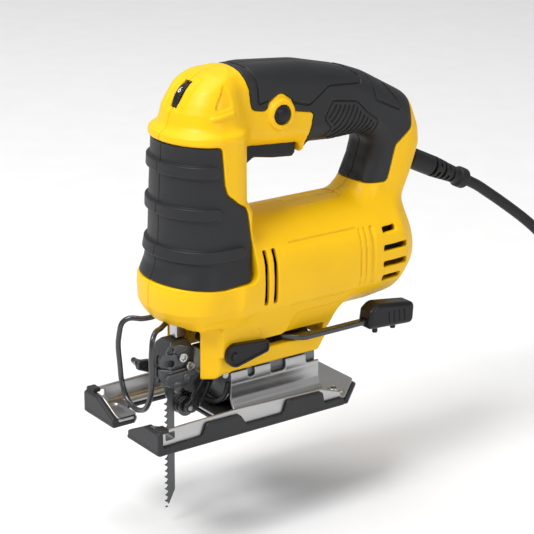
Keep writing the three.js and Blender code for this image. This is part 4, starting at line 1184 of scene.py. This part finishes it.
def plug_pins(x, y, z):
    reach = np.hypot(np.abs(y - PLUG_START[1]) - 9.5, z - PLUG_START[2])
    return prism(reach - 2, x - PLUG_START[0], 44, 64.9, 0.9)


def pin_sleeves(x, y, z):
    reach = np.hypot(np.abs(y - PLUG_START[1]) - 9.5, z - PLUG_START[2])
    return prism(reach - 2.25, x - PLUG_START[0], 45, 54.5, 0.2)


TIE_ANGLE = math.radians(215)


def coil_tie(x, y, z):
    """A strap around the coil's turns."""
    u, v = x - COIL_CENTRE[0], y - COIL_CENTRE[1]
    outward = u * math.cos(TIE_ANGLE) + v * math.sin(TIE_ANGLE) - COIL_RADIUS
    along = v * math.cos(TIE_ANGLE) - u * math.sin(TIE_ANGLE)
    up = z - FLOOR_Z - 11.2
    outer = rounded(np.abs(outward) - 11.3, np.abs(up) - 11.1, 3)
    strap = np.abs(outer + 0.35) - 0.35
    tongue = prism(slab(outward, -4, 9), up, 11.1, 12, 0.3)
    return rounded(np.minimum(strap, tongue), np.abs(along) - 5, 0.2)


# ---- the line of the cord
CORD_ROUTE = [
    [-187.4, 0, 110.6], [-197.4, 0, 105.4], [-206.4, 0, 99.6], [-228.7, 1, 84], [-251, 3, 66],
    [-271, 6, 43], [-287, 11, 17], [-300, 18, -13], [-312, 27, -39], [-326, 37, -54],
    [-341, 46, -60.8], [-357, 53.6, -62.4], [-377.5, 57, -62.4],
]
COIL_PLACES = [  # turn by turn across the bundle: radius, layer
    (47, 0), (40, 0), (33, 0), (33, 1), (40, 1), (33, 2), (40, 2), (47, 2), (45.5, 1),
]
POINTS_PER_TURN = 16


def catmull_rom(points, per_span):
    points = np.array(points, float)
    padded = np.vstack([2 * points[0] - points[1], points, 2 * points[-1] - points[-2]])
    result = []
    for a, b, c, d in zip(padded, padded[1:], padded[2:], padded[3:]):
        for step in range(per_span):
            t = step / per_span
            square = 2 * a - 5 * b + 4 * c - d
            cube = 3 * b - a - 3 * c + d
            result.append((2 * b + (c - a) * t + square * t ** 2 + cube * t ** 3) / 2)
    return np.vstack([result, points[-1]])


def coil_points():
    """The stored length: turns side by side, in three layers."""
    turns = len(COIL_PLACES) - 0.5
    points = []
    for step in range(int(turns * POINTS_PER_TURN) + 1):
        turn = step / POINTS_PER_TURN
        k = min(int(turn), len(COIL_PLACES) - 1)
        share = turn - k
        share = share * share * (3 - 2 * share)
        here, after = COIL_PLACES[k], COIL_PLACES[min(k + 1, len(COIL_PLACES) - 1)]
        radius = here[0] + (after[0] - here[0]) * share
        layer = here[1] + (after[1] - here[1]) * share
        angle = math.pi / 2 + 2 * math.pi * turn
        points.append([
            COIL_CENTRE[0] + radius * math.cos(angle),
            COIL_CENTRE[1] + radius * math.sin(angle),
            FLOOR_Z + 0.6 + CORD_DIAMETER * (0.5 + layer),
        ])
    return points


def smooth_curve(name, points, radius, material):
    """A round bar along a smooth line."""
    data = bpy.data.curves.new(name, "CURVE")
    data.dimensions = "3D"
    data.bevel_depth = radius * MM
    data.bevel_resolution = 5
    data.resolution_u = 5
    data.use_fill_caps = True
    spline = data.splines.new("BEZIER")
    spline.bezier_points.add(len(points) - 1)
    for place, knot in zip(points, spline.bezier_points):
        knot.co = Vector(place) * MM
        knot.handle_left_type = knot.handle_right_type = "AUTO"
    data.materials.append(material)
    return new_object(name, data)


# ======== the cord and its ends
relief_piece = piece("cord_relief", strain_relief, (-190, -8, 102), (-124, 8, 146), 0.4,
                     CORD_RUBBER, "housing", ["strain_relief"])
plug_piece = piece("plug_moulding", plug_body, (-375, -48, -67), (-327, -23, -43), 0.45,
                   BLACK, "housing", ["plug"])
pins_piece = piece("plug_contacts", plug_pins, (-331, -48, -58), (-308, -23, -52), 0.3,
                   BRIGHT, "housing", ["plug"])
sleeves_piece = piece("plug_sleeves", pin_sleeves, (-330, -48, -58), (-318, -23, -52), 0.3,
                      BLACK, "housing", ["plug"])
tie_piece = piece("coil_tie", coil_tie, (-456, -26, -67), (-422, 8, -42), 0.45,
                  BLACK, "housing", ["cord_coil"])
free_route = catmull_rom(CORD_ROUTE, 2)
cord_end = [[-390, *PLUG_START[1:]], PLUG_START]
cord = smooth_curve("mains_cord", [*free_route, *coil_points(), *cord_end], CORD_DIAMETER / 2, CORD_RUBBER)
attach(cord, "housing")
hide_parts("power_cord", "cord_coil")

# ======== the housing, its grips and the controls
for side, name in ((1, "left"), (-1, "right")):
    low_y, high_y = sorted((0, side * 36))
    piece(f"yellow_shell_{name}", partial(housing_half, side), (-142, low_y, 27), (53, high_y, 209), 0.8,
          YELLOW, "housing", [f"housing_{name}"])
    piece(f"rubber_boot_{name}", partial(grip_half, front_grip, side),
          (-2, low_y, 84), (48, high_y, 172), 0.55,
          RUBBER, "housing", [f"front_grip_{name}"])
    low_y, high_y = sorted((0, side * 21))
    piece(f"rubber_handle_{name}", partial(grip_half, handle_grip, side),
          (-142, low_y, 120), (2, high_y, 210), 0.55,
          RUBBER, "housing", [f"handle_grip_{name}"])

for number, place in enumerate(SCREW_PLACES, 1):
    piece(f"shell_screw_{number}", partial(housing_screw, place),
          (place[0] - 4, -15, place[1] - 4), (place[0] + 4, 9, place[1] + 4), 0.3,
          DARK_STEEL, "housing", [f"housing_screw_{number}"])

piece("trigger_bar", trigger, (-47, -10, 149), (-8, 10, 169), 0.4,
      BLACK, "trigger", ["trigger"])
piece("lock_cap", lock_button, (-35, 11, 173), (-22, 22, 186), 0.25,
      BLACK, "lock_button", ["lock_button"])
piece("dial_wheel", speed_dial, (5, -7, 174), (33, 7, 202), 0.3,
      BLACK, "speed_dial", ["speed_dial"])
piece("selector_lever", orbit_selector, (-13, -9, 37), (18, 33, 52), 0.3,
      BLACK, "orbit_selector", ["orbit_selector"])
piece("bevel_strip", bevel_arm, (-96, -8, 43), (-20, 35, 48), 0.35,
      BLACK_STEEL, "bevel_lever", ["bevel_lever_arm"])
piece("bevel_grip", bevel_knob, (-120, 23, 35), (-80, 38, 58), 0.4,
      BLACK, "bevel_lever", ["bevel_lever_knob"])


def dial_numerals():
    """Small white numbers around the dial's rim; the 6 is in the window."""
    for step, numeral in enumerate("123456"):
        angle = math.radians(45 + 42 * (5 - step))
        data = bpy.data.curves.new(f"dial_number_{numeral}", "FONT")
        data.body = numeral
        data.size = 5.4 * MM
        data.extrude = 0.04 * MM
        data.align_x = data.align_y = "CENTER"
        data.materials.append(MARKING)
        obj = new_object(f"dial_number_{numeral}", data)
        out = Vector((math.cos(angle), 0, math.sin(angle)))
        up = Vector((-math.sin(angle), 0, math.cos(angle)))
        centre = Vector((DIAL[0], 0, DIAL[1])) * MM
        turn = Matrix((up.cross(out), up, out)).transposed().to_4x4()
        obj.matrix_world = Matrix.Translation(centre + out * (DIAL_RADIUS + 0.05) * MM) @ turn
        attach(obj, "speed_dial")


MARKING = finish_of("white_marking", (0.8, 0.8, 0.8), 0.5, grain=(2000, 0.05))
dial_numerals()

# ======== the shoe
piece("stamped_plate", shoe_plate, (-86, -40, 1), (69, 40, 16), 0.5,
      STEEL, "shoe", ["shoe_plate"])
piece("slip_cover", shoe_cover, (-87, -42, -1), (72, 42, 16), 0.55,
      GREY, "shoe", ["shoe_cover"])
piece("stamped_cradle", cradle, (-58, -32, 4), (9, 32, 31), 0.45,
      STEEL, "shoe", ["shoe_cradle"])
piece("cradle_insert", cradle_insert, (7, -22, 4), (11, 22, 26), 0.4,
      GREY, "shoe", ["shoe_cradle"])
for side, name in ((1, "left"), (-1, "right")):
    low_y, high_y = sorted((side * 24, side * 34))
    piece(f"eyelet_{name}", partial(rivet, side), (-67, low_y, 4), (-57, high_y, 8), 0.25,
          STEEL, "shoe", [f"shoe_rivet_{name}"])

# ======== the blade, its clamp, guides and guard
piece("clamp_casting", blade_clamp, (24, -10, 22), (47, 12, 52), 0.3,
      CAST_DARK, "plunger", ["blade_clamp"])
for number, place in enumerate(CLAMP_SCREWS, 1):
    piece(f"clamp_bolt_{number}", partial(clamp_screw, place),
          (place[0] - 4, 4, place[1] - 4), (place[0] + 4, 12, place[1] + 4), 0.2,
          BRIGHT, "plunger", [f"clamp_screw_{number}"])
piece("clamp_pivot", clamp_pin, (28, -14, 26), (35, 12, 33), 0.25,
      DARK_STEEL, "plunger", ["clamp_pin"])
piece("release_lever", clamp_lever, (28, -19, 24), (54, -8, 39), 0.3,
      BLACK_STEEL, "clamp_lever", ["clamp_lever"])
piece("saw_blade", blade, (33, -1.2, -57), (42, 1.2, 43), 0.25,
      BLADE_STEEL, "plunger", ["blade"])
piece("plunger_bar", plunger, (21, -17, 50), (36, 17, 153), 0.45,
      BRIGHT, "plunger", ["plunger"])
piece("fork_casting", orbit_fork, (7, -8, 2), (32, 8, 43), 0.35,
      BLACK_STEEL, "orbit_fork", ["orbit_fork"])
piece("grooved_roller", guide_roller, (21, -5, 1), (34, 5, 14), 0.25,
      BLACK_STEEL, "guide_roller", ["guide_roller"])

GUARD_LEFT = [
    [42, 6, 74], [42, 6, 65.2], [47, 8.6, 63], [57, 15.4, 62], [60, 17.4, 53], [60, 17, 34],
    [60, 13.8, 21], [60, 6, 13.6],
]
guard_path = GUARD_LEFT + [[x, -y, z] for x, y, z in reversed(GUARD_LEFT)]
guard = smooth_curve("wire_guard", guard_path, 1.6, BLACK_STEEL)
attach(guard, "housing")
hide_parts("finger_guard")

# ======== the floor
FLOOR_HALF_WIDTH = 4000
floor_corners = [(x * FLOOR_HALF_WIDTH, y * FLOOR_HALF_WIDTH, FLOOR_Z)
                 for x, y in ((-1, -1), (1, -1), (1, 1), (-1, 1))]
floor = mesh_object("floor", np.array(floor_corners), np.array([[0, 1, 2, 3]]))
PAPER = finish_of("floor_paper", (0.86, 0.86, 0.86), 0.8, grain=(300, 0.02), spread=0.01)
floor.data.materials.append(PAPER)
